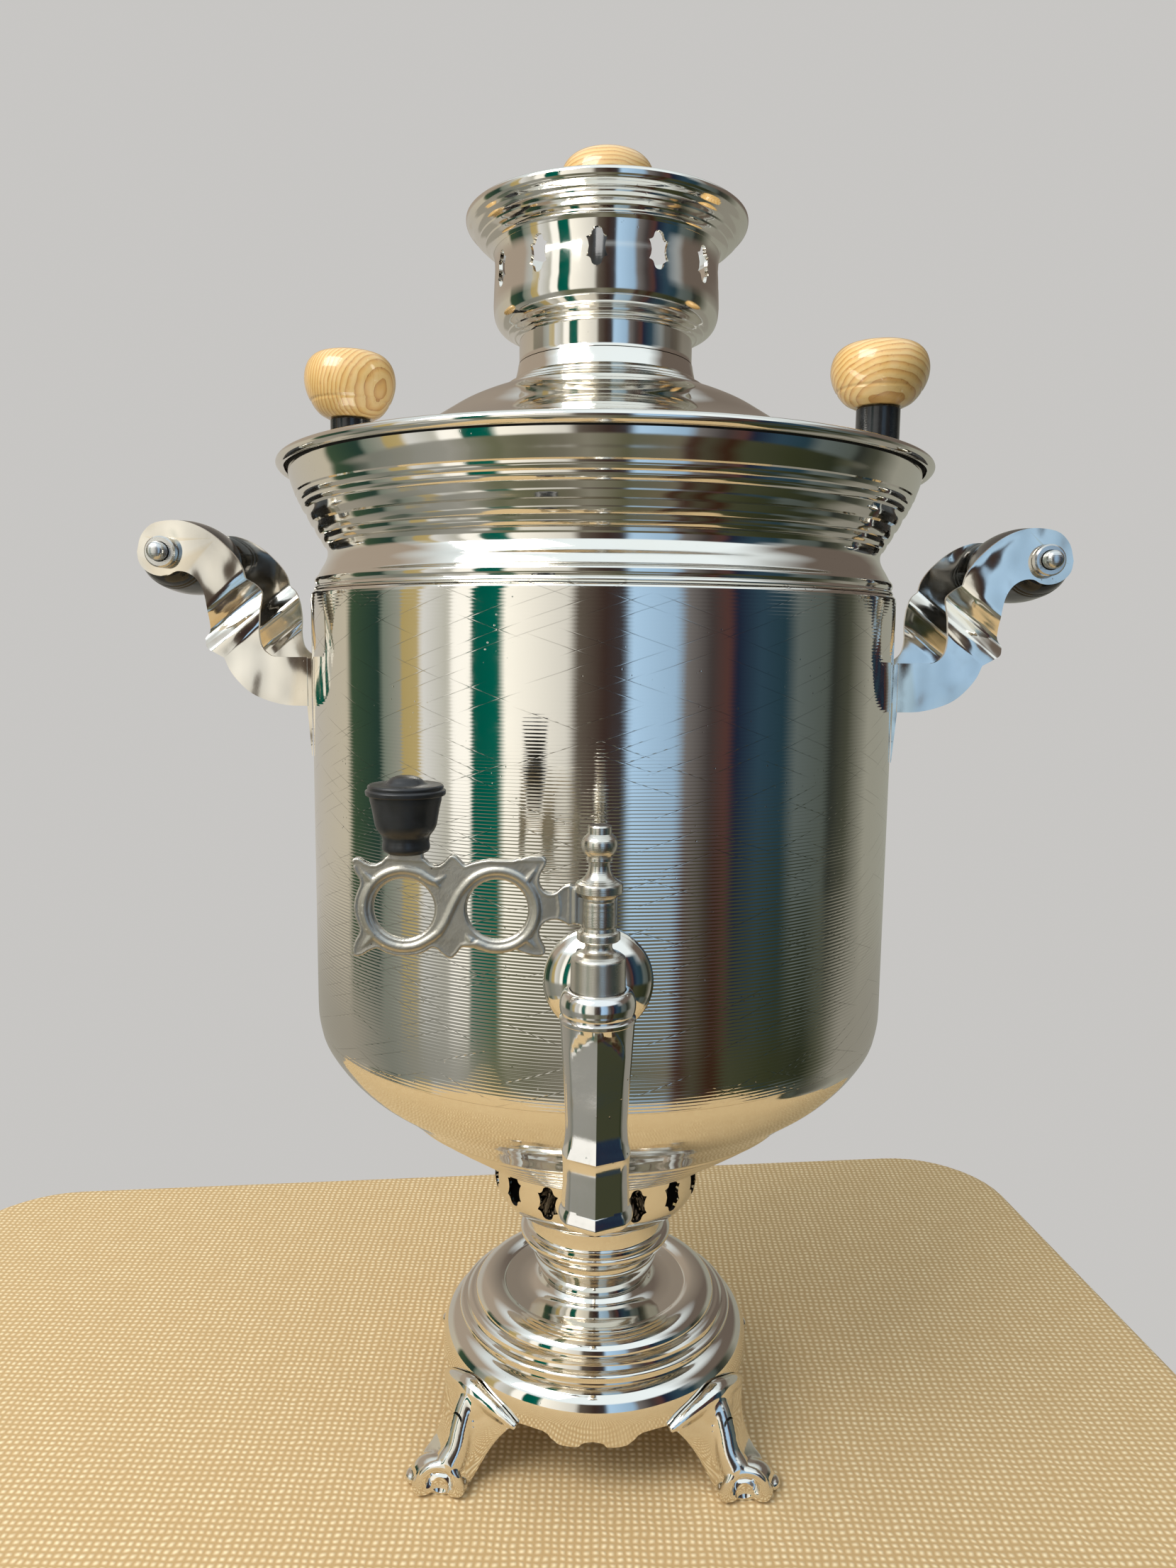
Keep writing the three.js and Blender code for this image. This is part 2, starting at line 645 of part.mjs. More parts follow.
// Flue cap: a domed disc with a short skirt inside the fire tube, a stem and a wooden knob.
const capBottom = tubeTop + clearance;
const capTop = capBottom + sheet + capRise;
const capSkirtRadius = tubeTopRadius - sheet - 2 * clearance;

function makeFlueCap() {
  const bore = knobScrewRadius + clearance;
  const innerRadius = capSkirtRadius - sheet;
  const skirtBottom = capBottom - capSkirtLength;
  const outline = [
    [innerRadius, skirtBottom], [capSkirtRadius, skirtBottom], [capSkirtRadius, capBottom],
    [capDiscRadius, capBottom], [capDiscRadius, capBottom + sheet], [knobStemRadius + sheet, capTop],
    [bore, capTop], [bore, capTop - sheet], [knobStemRadius, capTop - sheet], [innerRadius, capBottom],
  ];
  return turned([...outline, outline[0]], neckSides);
}

const capStemTop = capTop + clearance + capStemLength;
const capKnobBottom = capStemTop + clearance;
const capStem = ring(knobScrewRadius + clearance, knobStemRadius, capTop + clearance, capStemTop);
const capScrew = makeScrew(capTop - sheet - clearance, capKnobBottom + knobScrewDepth);
const capKnob = makeKnob(capKnobRadius, capKnobHeight, capKnobBottom, knobScrewDepth + clearance);
addPiece("flue_cap", makeFlueCap(), "nickel");
addPiece("flue_cap_stem", capStem, "blackPlastic");
addPiece("flue_cap_knob", capKnob, "wood");
addPiece("flue_cap_screw", capScrew, "steel");

// Handles. The ear's outline is drawn for the left front ear, from its eye down to the wall and back.
const earShares = [
  [1.191, 0], [1.157, 0.12], [1.083, 0.2], [0.969, 0.228], [0.843, 0.227], [0.728, 0.19], [0.629, 0.13],
  [0.544, 0.057], [0.47, -0.022], [0.42, -0.107], [0.405, -0.18], [0.31, -0.256], [0.299, -0.33],
  [0.305, -0.606], [0.283, -0.69], [0.22, -0.753], [0.117, -0.757], [-0.07, -0.757],
  [-0.07, -1.12], [0.112, -1.115], [0.243, -1.085], [0.369, -1.03], [0.47, -0.94], [0.533, -0.855],
  [0.569, -0.77], [0.656, -0.722], [0.719, -0.68], [0.73, -0.618], [0.688, -0.578], [0.687, -0.434],
  [0.697, -0.344], [0.719, -0.257], [0.766, -0.184], [0.843, -0.137], [0.906, -0.137], [0.971, -0.17],
  [1.047, -0.17], [1.124, -0.139], [1.177, -0.08],
];

const foldPlaceShares = [0.503, 0.425]; // from the eye in to the wall and down

function foldedSheet() {
  const half = foldHalfWidth;
  const far = bodyRadius;
  const front = [[-far, 0], [-half, 0], [0, foldDepth], [half, 0], [far, 0]];
  const back = front.map(([across, depth]) => [across, depth + earThickness]).reverse();
  const corners = [...front, ...back].map(([across, depth]) => new THREE.Vector2(across, depth));
  const along = new THREE.ExtrudeGeometry(new THREE.Shape(corners), { depth: 2 * far, bevelEnabled: false });
  // The section's across lies square to the fold and its depth runs inwards, along +Y.
  const across = new THREE.Vector3(Math.sin(foldAngle), 0, -Math.cos(foldAngle));
  const inward = new THREE.Vector3(0, 1, 0);
  const alongFold = new THREE.Vector3().crossVectors(across, inward);
  const turn = new THREE.Matrix4().makeBasis(across, inward, alongFold);
  const [inShare, downShare] = foldPlaceShares;
  const x = -gripAxisReach + inShare * gripStandoff;
  const z = gripAxisHeight - downShare * gripStandoff;
  return along.translate(0, 0, -far).applyMatrix4(turn).translate(x, -earSpacing / 2, z);
}

const flangeShares = [[0, 1], [0.85, 0.96], [1, 0.68], [0.72, 0.38], [0.25, 0.15], [0, 0]];

function makeEar() {
  const outline = scaled(earShares, -gripStandoff, gripStandoff, gripAxisHeight);
  const prism = plate(outline, 2 * overrun).translate(-bodyRadius, -earSpacing / 2, 0);
  const rise = flangeTop - flangeTail;
  const leaf = scaled(flangeShares, flangeWidth, rise, flangeTail);
  const leafPrism = plate(leaf, bodyRadius / 2).rotateZ(Math.PI / 2);
  leafPrism.translate(-bodyRadius, -earSpacing / 2, 0);
  const skin = bodyCylinder(bodyRadius + clearance + flangeThickness);
  const flange = common(leafPrism, skin);
  const eye = aroundY(bar(pinRadius + clearance, -earSpacing, earSpacing));
  eye.translate(-gripAxisReach, 0, gripAxisHeight);
  return cut(join(common(foldedSheet(), prism), flange), bodyCylinder(bodyRadius + clearance), eye);
}

function makePin() {
  const half = earSpacing / 2 + pinOverhang;
  const tip = pinRadius * pinTipShare;
  const outline = [
    [0, -half], [pinRadius - tip, -half], [pinRadius, -half + tip], [pinRadius, half - tip],
    [pinRadius - tip, half], [0, half],
  ];
  return aroundY(turned(outline, smallSides));
}

const gripShares = [[0.63, -1], [0.8, -0.86], [0.95, -0.46], [1, 0], [0.95, 0.46], [0.8, 0.86], [0.63, 1]];

function makeGrip() {
  const half = earSpacing / 2 - earThickness - clearance;
  const bore = pinRadius + clearance;
  const outline = scaled(gripShares, gripRadius, half, 0);
  return aroundY(turned([[bore, -half], ...outline, [bore, half], [bore, -half]], smallSides));
}

function makeNut() {
  const start = earSpacing / 2 + clearance;
  return aroundY(ring(pinRadius + clearance, nutRadius, start, start + nutThickness));
}

function mirrored(geometry, x, y) {
  const turnedInside = x * y < 0;
  const copy = geometry.clone().scale(x, y, 1);
  if (turnedInside) {
    const order = copy.index.array;
    for (let i = 0; i < order.length; i += 3) [order[i], order[i + 1]] = [order[i + 1], order[i]];
  }
  return copy;
}

const ear = makeEar();
[["left", 1], ["right", -1]].forEach(([side, x]) => {
  [["front", 1], ["rear", -1]].forEach(([end, y]) => {
    addPiece(`handle_ear_${side}_${end}`, mirrored(ear, x, y), "nickel");
    const nut = y > 0 ? makeNut() : makeNut().rotateZ(Math.PI);
    addPiece(`grip_nut_${side}_${end}`, nut, "steel").position.set(-x * gripAxisReach, 0, gripAxisHeight);
  });
  addPiece("grip_pin_" + side, makePin(), "steel").position.set(-x * gripAxisReach, 0, gripAxisHeight);
  addPiece("grip_" + side, makeGrip(), "blackPlastic").position.set(-x * gripAxisReach, 0, gripAxisHeight);
});

// Tap. Its own axis is the plug's, in front of the body.
const spoutTop = tapTop - tapRingHeight;
const spoutShares = [
  [1.12, 0], [1.23, 0.04], [1.17, 0.1], [1.03, 0.14], [1, 0.23], [1.04, 0.32], [1.1, 0.36], [1.02, 0.4],
  [0.98, 0.48], [1.06, 0.73], [1.18, 0.97], [1.18, 1],
];
const tapRingShares = [[0.93, 0], [1, 0.25], [1, 0.75], [0.86, 1]];

function makeTapBody() {
  const rise = spoutTop - spoutMouth;
  const stations = spoutShares.map(([wide, up]) => {
    const half = wide * spoutHalfWidth;
    return [0, spoutMouth + up * rise, half, half];
  });
  const spout = taperedBar(stations, smallSides / 2);
  const rim = scaled(tapRingShares, tapRingRadius, tapTop - spoutTop, spoutTop);
  const head = turned([[0, spoutTop], ...rim, [0, tapTop]], turnedSides);
  const shankEnd = tapReach - bodyRadius + shankTail;
  const shank = bar(shankRadius, 0, shankEnd, turnedSides).rotateX(-Math.PI / 2).translate(0, 0, tapHeight);
  const seat = [
    ...plugSeat(clearance),
    [plugRadius + clearance, tapTop + overrun], [0, tapTop + overrun],
  ];
  const wayOut = bar(spoutBoreRadius, spoutMouth - overrun, tapTop - plugSeatDepth, smallSides);
  const wayIn = bar(shankBoreRadius, 0, shankEnd + overrun, smallSides);
  wayIn.rotateX(-Math.PI / 2).translate(0, 0, tapHeight);
  return cut(join(spout, head, shank), turned(seat, turnedSides), wayOut, wayIn);
}

// The plug's tapered seat, as wide again as the margin all round.
function plugSeat(margin) {
  const bottom = tapTop - plugSeatDepth - margin;
  return [
    [0, bottom], [plugTipRadius + margin, bottom],
    [plugRadius + margin, tapTop - plugParallelDepth],
  ];
}

// Above its shoulder the plug is turned with a waist, a collar, a barrel, a second collar and a ball.
const plugShares = [
  [1, 0.2], [0.5, 0.215], [0.46, 0.29], [0.76, 0.305], [0.76, 0.345], [barrelShare, 0.355],
  [barrelShare, 0.565], [0.86, 0.6], [0.86, 0.645], [0.45, 0.72], [0.4, 0.755], [0.66, 0.86],
  [0.42, 0.94], [0.42, 1],
];

function makePlug() {
  const upper = scaled(plugShares, plugRadius, plugHeight, tapTop);
  const plug = turned([...plugSeat(0), ...upper, [0, tapTop + plugHeight]], turnedSides);
  const bottom = tapTop - plugSeatDepth;
  const wayDown = bar(plugPortRadius, bottom - overrun, tapHeight + plugPortRadius, smallSides);
  const wayIn = bar(plugPortRadius, 0, plugRadius + overrun, smallSides);
  wayIn.rotateY(Math.PI / 2).translate(0, 0, tapHeight);
  const slotHeight = keyTangHeight + 2 * clearance;
  const slot = new THREE.BoxGeometry(2 * plugRadius + overrun, keyThickness + 2 * clearance, slotHeight);
  return cut(plug, wayDown, wayIn, slot.translate(0, 0, keyMiddle));
}

// The key's outline from its tip round the top to the tang that goes through the plug's barrel.
const keyUpperShares = [
  [0.95, 0.3], [0.985, 0.8], [0.95, 0.9], [0.905, 0.78], [0.86, 0.83], [0.845, 1.03], [0.72, 1.03],
  [0.7, 0.83], [0.64, 0.78], [0.597, 0.98], [0.537, 0.74], [0.44, 0.93], [0.34, 0.9], [0.253, 1],
  [0.22, 0.9], [0.238, 0.54], [0.227, 0.31], [0.186, 0.27], [0.145, 0.38], [0.095, 0.34],
];
const keyLowerShares = [
  [0.095, -0.38], [0.145, -0.3], [0.21, -0.23], [0.247, -0.3], [0.253, -0.52], [0.222, -0.85],
  [0.236, -0.95], [0.29, -0.86], [0.376, -0.9], [0.53, -0.82], [0.615, -0.98], [0.65, -0.8],
  [0.79, -0.93], [0.873, -0.82], [0.957, -0.8], [0.993, -0.88], [1, -0.7], [0.97, -0.44],
];
const keyRingShares = [0.793, 0.413];
const keyStalkPlace = -keyStalkShare * keyLength;

function makeKey() {
  const place = ([along, up]) => [-along * keyLength, keyMiddle + up * keyHalfHeight];
  const tang = keyTangHeight / 2;
  const end = barrelRadius + clearance;
  const outline = [
    ...keyUpperShares.map(place),
    [-end, keyMiddle + tang], [end, keyMiddle + tang],
    [end, keyMiddle - tang], [-end, keyMiddle - tang],
    ...keyLowerShares.map(place),
  ];
  const holes = keyRingShares.map((share) => [-share * keyLength, keyMiddle, keyHoleRadius]);
  const stalkTop = keyKnobBottom + keyStalkDepth;
  const stalkRise = stalkTop - keyMiddle - keyHalfHeight;
  const stalk = new THREE.BoxGeometry(keyStalkWidth - 2 * clearance, keyThickness, stalkRise + sheet);
  stalk.translate(keyStalkPlace, 0, stalkTop - (stalkRise + sheet) / 2);
  return join(plate(outline, keyThickness, holes), stalk);
}

const keyKnobShares = [
  [0.58, 0], [0.58, 0.19], [0.79, 0.42], [0.89, 0.7], [0.91, 0.76], [1, 0.8], [1, 0.87],
  [0.5, 0.94], [0, 1],
];

function makeKeyKnob() {
  const outline = scaled(keyKnobShares, keyKnobRadius, keyKnobHeight, keyKnobBottom + clearance);
  const knob = turned([[0, keyKnobBottom + clearance], ...outline], smallSides);
  const socketHeight = 2 * (keyStalkDepth + clearance);
  const socket = new THREE.BoxGeometry(keyStalkWidth, keyThickness + 2 * clearance, socketHeight);
  return cut(knob, socket.translate(0, 0, keyKnobBottom)).translate(keyStalkPlace, 0, 0);
}

const rosetteShares = [[1, 0.12], [0.86, 0.5], [0.62, 0.8], [0.42, 1]];

// The rosette's rim runs back into the wall's curve, where it is trimmed.
function makeRosette() {
  const hole = shankRadius + clearance;
  const face = scaled(rosetteShares, rosetteRadius, rosetteRise, 0);
  const back = [hole, -rosetteRise];
  const dome = turned([back, [rosetteRadius, -rosetteRise], ...face, [hole, rosetteRise], back], turnedSides);
  const placed = dome.rotateX(Math.PI / 2).translate(0, -bodyRadius, tapHeight);
  return cut(placed, bodyCylinder(bodyRadius + clearance));
}

function ontoShank(radius, depth, place, sides) {
  const bore = bar(shankRadius + clearance, place - overrun, place + depth + overrun, turnedSides);
  const blank = cut(bar(radius, place, place + depth, sides), bore);
  return blank.rotateX(-Math.PI / 2).translate(0, 0, tapHeight);
}

const nutPlace = -(bodyRadius - sheet) + 2 * clearance + gasketThickness;

function makeGasket() {
  const blank = ontoShank(gasketRadius, nutPlace - clearance + bodyRadius, -bodyRadius, turnedSides);
  return common(blank, bodyCylinder(bodyRadius - sheet - clearance));
}

const tapAxis = [0, -tapReach, 0];
addPiece("tap_body", makeTapBody(), "nickel").position.set(...tapAxis);
addPiece("tap_plug", makePlug(), "brushedNickel").position.set(...tapAxis);
addPiece("tap_key", makeKey(), "castNickel").position.set(...tapAxis);
addPiece("tap_key_knob", makeKeyKnob(), "blackPlastic").position.set(...tapAxis);
addPiece("tap_rosette", makeRosette(), "nickel");
addPiece("tap_gasket", makeGasket(), "rubber");
addPiece("tap_nut", ontoShank(tapNutRadius, tapNutThickness, nutPlace, nutSides), "brushedNickel");

// The origin is under the middle of the whole outline: the tap reaches further forward than the rim back.
const frontReach = tapReach + spoutHalfWidth * Math.max(...spoutShares.map(([wide]) => wide));
const part = new THREE.Group();
samovar.position.y = (frontReach - rimOuterRadius) / 2;
part.add(samovar);

export default part;
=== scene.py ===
# %% [markdown]
# # A charcoal samovar
#
# The model is a nickelled water boiler: a spun can on a footed pedestal, with a lid, a crown for the
# teapot, two handles and a tap. A frame of plain solids is loaded first. Each visible piece is then
# modelled again with smooth curves and fine detail, and rides on the same body as the solid it covers.

import json
import math
from math import cos, pi, radians, sin

import bpy
from mathutils import Matrix, Vector

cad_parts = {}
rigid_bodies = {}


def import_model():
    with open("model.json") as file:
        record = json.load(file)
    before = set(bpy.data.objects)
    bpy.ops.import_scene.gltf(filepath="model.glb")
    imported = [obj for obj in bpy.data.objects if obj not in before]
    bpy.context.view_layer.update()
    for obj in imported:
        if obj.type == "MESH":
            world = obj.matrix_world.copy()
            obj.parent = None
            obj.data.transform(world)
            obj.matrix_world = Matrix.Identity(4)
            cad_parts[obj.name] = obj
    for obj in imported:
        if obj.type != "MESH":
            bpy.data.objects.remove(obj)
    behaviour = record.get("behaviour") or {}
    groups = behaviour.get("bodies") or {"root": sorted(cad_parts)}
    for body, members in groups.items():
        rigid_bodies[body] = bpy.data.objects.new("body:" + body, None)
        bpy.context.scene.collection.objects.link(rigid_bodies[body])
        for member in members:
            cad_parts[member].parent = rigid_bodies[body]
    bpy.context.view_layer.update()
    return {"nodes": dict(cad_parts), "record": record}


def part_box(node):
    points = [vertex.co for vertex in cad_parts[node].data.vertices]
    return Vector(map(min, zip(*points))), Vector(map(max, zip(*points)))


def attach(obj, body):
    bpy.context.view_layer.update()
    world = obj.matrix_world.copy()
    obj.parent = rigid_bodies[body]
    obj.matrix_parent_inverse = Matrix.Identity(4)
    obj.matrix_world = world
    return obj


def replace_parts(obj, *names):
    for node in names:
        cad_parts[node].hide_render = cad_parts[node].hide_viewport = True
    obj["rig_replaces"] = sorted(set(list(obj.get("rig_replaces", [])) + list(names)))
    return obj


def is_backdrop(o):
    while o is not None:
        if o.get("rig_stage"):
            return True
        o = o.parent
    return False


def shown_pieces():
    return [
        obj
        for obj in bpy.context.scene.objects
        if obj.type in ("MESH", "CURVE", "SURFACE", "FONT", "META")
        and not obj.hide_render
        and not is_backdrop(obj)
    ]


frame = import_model()

# %% [markdown]
# Every size below is in millimetres, as a maker would write it, and is turned to metres where it is
# used. Two upright axes rule the whole shape: that of the boiler and that of the plug in the tap.

# %% Units and the two upright axes
MM = 0.001


def corners(node):
    """The lowest and the highest corner of a solid's box, in millimetres."""
    return [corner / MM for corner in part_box(node)]


def middle(node):
    """The middle of a solid's box, in millimetres."""
    low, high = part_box(node)
    return (low + high) / (2 * MM)


def heights(node):
    return [corner.z for corner in corners(node)]


BOILER = Vector((0, middle("reservoir_wall").y, 0))
PLUG = Vector((0, middle("tap_plug").y, 0))
print("boiler axis at y =", round(BOILER.y, 2), "and plug axis at y =", round(PLUG.y, 2))

# %% [markdown]
# The camera comes before anything else, so that each render can be set beside the same view of the
# real object. It stands 40 cm in front of the boiler's axis, a little over the tap, and looks down by
# seven degrees. Such a near camera is what makes the rings curve so strongly.

# %% Camera
CAMERA_DISTANCE = 400
CAMERA_HEIGHT = 288
camera_data = bpy.data.cameras.new("camera")
camera_data.sensor_fit = "AUTO"
camera_data.sensor_width = 36
camera_data.lens = 25.71
camera_data.clip_start = 0.01
camera = bpy.data.objects.new("camera", camera_data)
bpy.context.scene.collection.objects.link(camera)
look = (
    Matrix.Rotation(radians(0.64), 4, "Z")
    @ Matrix.Rotation(radians(90 - 7.1), 4, "X")
    @ Matrix.Rotation(radians(0.60), 4, "Z")
)
place = Matrix.Translation(Vector((0, BOILER.y - CAMERA_DISTANCE, CAMERA_HEIGHT)) * MM)
camera.matrix_world = place @ look
bpy.context.scene.camera = camera
print("camera at", [round(v, 3) for v in camera.location])

# %% [markdown]
# ## Nodes
#
# The room and all finishes are made of shader nodes. The helpers here add a node, fill or link its
# inputs and hand back an output, so that a pattern reads like a line of arithmetic.


# %% Node helpers
def add_node(tree, kind, inputs=None, **settings):
    """Adds a shader node, sets it, and fills or links its inputs."""
    node = tree.nodes.new("ShaderNode" + kind)
    for name, value in settings.items():
        setattr(node, name, value)
    for name, value in (inputs or {}).items():
        if isinstance(value, bpy.types.NodeSocket):
            tree.links.new(value, node.inputs[name])
        else:
            node.inputs[name].default_value = value
    return node


def calc(tree, operation, first, second=0.0, third=0.0, clamp=False):
    """One Math node on values or sockets."""
    values = {0: first, 1: second, 2: third}
    return add_node(tree, "Math", values, operation=operation, use_clamp=clamp).outputs[0]


def times(tree, first, second):
    return calc(tree, "MULTIPLY", first, second)


def added(tree, value, factor, base, clamp=False):
    """A value times a factor, added to a base."""
    return calc(tree, "MULTIPLY_ADD", value, factor, base, clamp)


def ranged(tree, value, low=0.0, high=1.0, to_low=0.0, to_high=1.0):
    """A value's place between low and high, spread from to_low to to_high and kept there."""
    ends = {"From Min": low, "From Max": high, "To Min": to_low, "To Max": to_high}
    return add_node(tree, "MapRange", {"Value": value, **ends}).outputs[0]


def noise(tree, vector, scale, detail=2.0, **more):
    return add_node(tree, "TexNoise", {"Vector": vector, "Scale": scale, "Detail": detail,
                                       **more}).outputs[0]


def stretched(tree, vector, factors):
    """A vector times fixed factors, one for each axis."""
    return add_node(tree, "VectorMath", {0: vector, 1: factors}, operation="MULTIPLY").outputs[0]


def blend(tree, factor, first, second):
    inputs = {"Factor": factor, "A": first, "B": second}
    return add_node(tree, "Mix", inputs, data_type="RGBA").outputs["Result"]


def ramp(tree, value, points):
    """A colour ramp on a value, with stops of (position, colour or grey level)."""
    node = add_node(tree, "ValToRGB", {"Fac": value})
    stops = [(at, (*light, 1) if isinstance(light, tuple) else (light, light, light, 1)) for at,
             light in points]
    elements = node.color_ramp.elements
    elements.remove(elements[-1])
    elements[0].position, elements[0].color = stops[0]
    for position, colour in stops[1:]:
        elements.new(position).color = colour
    return node.outputs[0]


# %% [markdown]
# Polished nickel has hardly any colour of its own: it shows the room. A plain room is built in the
# world, from the direction alone. In front there are tall soft panels, some bright and some dark, so
# that the can gets its upright bands, and behind there is an even pale grey wall. What the camera sees
# directly is only that grey.

# %% World
WALL_GREY = (0.575, 0.565, 0.55, 1)
world = bpy.data.worlds.new("soft_room")
bpy.context.scene.world = world
world.use_nodes = True
room = world.node_tree
room.nodes.clear()
# Panels by their angle from straight in front, left to right, in degrees, with their light.
PANELS = [
    (-150, (0.52, 0.49, 0.44)), (-112, (0.60, 0.55, 0.44)), (-109, (0.05, 0.09, 0.05)),
    (-91, (0.02, 0.05, 0.04)), (-89, (0.20, 0.24, 0.20)), (-80, (0.34, 0.35, 0.30)),
    (-79, (0.48, 0.38, 0.16)), (-71, (0.54, 0.43, 0.20)), (-70, (0.82, 0.83, 0.83)),
    (-58, (0.56, 0.56, 0.50)), (-56, (1.22, 1.21, 1.16)), (-49, (1.25, 1.23, 1.16)),
    (-48, (0.0, 0.10, 0.07)), (-37, (0.0, 0.13, 0.095)), (-36, (1.25, 1.22, 1.12)),
    (-12, (0.80, 0.79, 0.74)), (-9, (0.13, 0.11, 0.09)),
    (1, (0.05, 0.03, 0.025)), (8, (0.05, 0.045, 0.05)), (10.5, (0.50, 0.75, 1.05)),
    (27, (0.36, 0.55, 0.78)), (31, (0.19, 0.18, 0.18)), (40, (0.06, 0.05, 0.05)),
    (47, (0.10, 0.045, 0.04)), (50, (0.014, 0.02, 0.045)), (60, (0.03, 0.065, 0.10)),
    (71, (0.02, 0.05, 0.07)), (77, (0.12, 0.15, 0.15)), (92, (0.09, 0.11, 0.10)),
    (96, (0.03, 0.035, 0.03)), (106, (0.07, 0.075, 0.055)), (122, (0.34, 0.34, 0.29)),
]
LOW_PANELS = [
    (-150, (0.36, 0.34, 0.29)), (-108, (0.34, 0.32, 0.27)), (-88, (0.22, 0.23, 0.20)),
    (-56, (0.34, 0.34, 0.31)), (-40, (0.17, 0.175, 0.11)), (-26, (0.13, 0.13, 0.08)),
    (-14, (0.17, 0.16, 0.12)), (-6, (0.26, 0.25, 0.2)), (8, (0.12, 0.12, 0.07)),
    (26, (0.16, 0.14, 0.09)), (30, (0.05, 0.018, 0.01)), (36, (0.07, 0.065, 0.04)),
    (44, (0.04, 0.015, 0.007)), (50, (0.06, 0.065, 0.035)), (68, (0.04, 0.045, 0.02)),
    (86, (0.025, 0.03, 0.015)), (95, (0.09, 0.095, 0.065)), (108, (0.30, 0.29, 0.25)),
]
direction = add_node(room, "TexCoord").outputs["Generated"]
split = add_node(room, "SeparateXYZ", {0: direction}).outputs
turn = calc(room, "ARCTAN2", split["X"], times(room, split["Y"], -1.0))
share = calc(room, "ADD", calc(room, "DIVIDE", turn, 2 * pi), 0.5)
up_share = calc(room, "ADD", times(room, split["Z"], 0.5), 0.5)


def round_about(points):
    """Light by the angle from straight in front."""
    return ramp(room, share, [(angle / 360 + 0.5, light) for angle, light in points])


# %% [markdown]
# The panels stand from the floor up to a little over eye level. In front a bright window wall stands
# over them, behind there is a dim warm wall, and the ceiling is light again. Near the floor the room
# is dim and olive, and only the lowest part of the flare still catches the panels.

# %% Heights in the room
WINDOW = (1.02, 1.14, 1.22, 1)
CEILING = (0.80, 0.88, 0.92, 1)
CORNER, WARM, SHADE = (0.28, 0.24, 0.20), (0.44, 0.37, 0.30), (0.16, 0.13, 0.11)
in_front = round_about([(-92, 0.0), (-70, 1.0), (62, 1.0), (84, 0.0)])
dusk = round_about([(-180, CORNER), (-150, WARM), (-90, WARM), (90, SHADE), (150, SHADE), (180, CORNER)])
behind = blend(room, ramp(room, up_share, [(0.80, 0.0), (0.88, 1.0)]), dusk, CEILING)
over = blend(room, in_front, behind, WINDOW)
panel_top = [ramp(room, up_share, ends) for ends in ([(0.58, 0.0), (0.66, 1.0)],
                                                     [(0.71, 0.0), (0.75, 1.0)])]
upper = blend(room, blend(room, in_front, *panel_top), round_about(PANELS), over)
LOW_HEIGHTS = [(0.0, 1.0), (0.185, 1.0), (0.2, 0.3), (0.235, 0.3), (0.25, 0.97), (0.36, 0.97), (0.39, 0.0)]
whole_room = blend(room, ramp(room, up_share, LOW_HEIGHTS), upper, round_about(LOW_PANELS))
seen = add_node(room, "LightPath").outputs["Is Camera Ray"]
background = add_node(room, "Background", {"Color": blend(room, seen, whole_room, WALL_GREY)})
add_node(room, "OutputWorld", {0: background.outputs[0]})
bpy.context.scene.view_settings.view_transform = "Standard"
print("room panels:", len(PANELS), "and low ones:", len(LOW_PANELS))

# %% [markdown]
# One large soft lamp in front, on the upper left, gives the shadow under the pedestal and the shine
# on the wooden knobs. It is wide, so that no shadow edge is hard.

# %% Lamp
lamp_data = bpy.data.lights.new("soft_lamp", "AREA")
lamp_data.shape = "RECTANGLE"
lamp_data.size = 0.9
lamp_data.size_y = 0.7
lamp_data.energy = 16
lamp_data.color = (1.0, 0.98, 0.95)
lamp = bpy.data.objects.new("soft_lamp", lamp_data)
bpy.context.scene.collection.objects.link(lamp)
lamp.location = (-0.75, BOILER.y * MM - 0.75, 1.25)
lamp.rotation_euler = (Vector((0, BOILER.y * MM, 0.2)) - lamp.location).to_track_quat("-Z", "Y").to_euler()
print("lamp at", [round(v, 2) for v in lamp.location])

# %% [markdown]
# ## Ways of working
#
# Modelling by hand in edit mode starts from one primitive. The helpers here keep that way: a pen that
# draws an outline by extruding one vertex, a lathe that spins such an outline round an axis, and a
# plate that fills it and gives it depth. A profile through a few measured points gets its curves from
# a spline, and the points where two strokes meet stay sharp.


# %% Selecting and finishing
def only(*pieces):
    """Selects these pieces alone, the first one active."""
    bpy.ops.object.select_all(action="DESELECT")
    for piece in pieces:
        piece.select_set(True)
    bpy.context.view_layer.objects.active = pieces[0]
    return pieces[0]


def edit(piece):
    only(piece)
    bpy.ops.object.mode_set(mode="EDIT")


def leave():
    bpy.ops.object.mode_set(mode="OBJECT")


def tidy(piece, smooth=38, merge=0.004):
    """Merges doubles, turns the faces out and shades the piece, with sharp edges over an angle."""
    edit(piece)
    bpy.ops.mesh.select_all(action="SELECT")
    bpy.ops.mesh.remove_doubles(threshold=merge * MM)
    bpy.ops.mesh.normals_make_consistent(inside=False)
    leave()
    only(piece)
    bpy.ops.object.transform_apply(location=True, rotation=True, scale=True)
    bpy.ops.object.shade_smooth_by_angle(angle=radians(smooth))
    return piece


def apply(piece, kind, name="step", **settings):
    """Adds a modifier, sets it and applies it."""
    only(piece)
    modifier = piece.modifiers.new(name, kind)
    for key, value in settings.items():
        setattr(modifier, key, value)
    bpy.ops.object.modifier_apply(modifier=modifier.name)
    return piece


def joined(name, pieces):
    only(*pieces)
    if len(pieces) > 1:
        bpy.ops.object.join()
    bpy.context.object.name = name
    return bpy.context.object


def twin(piece, name):
    """A copy with a mesh of its own."""
    copy = piece.copy()
    copy.data = piece.data.copy()
    copy.name = name
    bpy.context.scene.collection.objects.link(copy)
    return copy


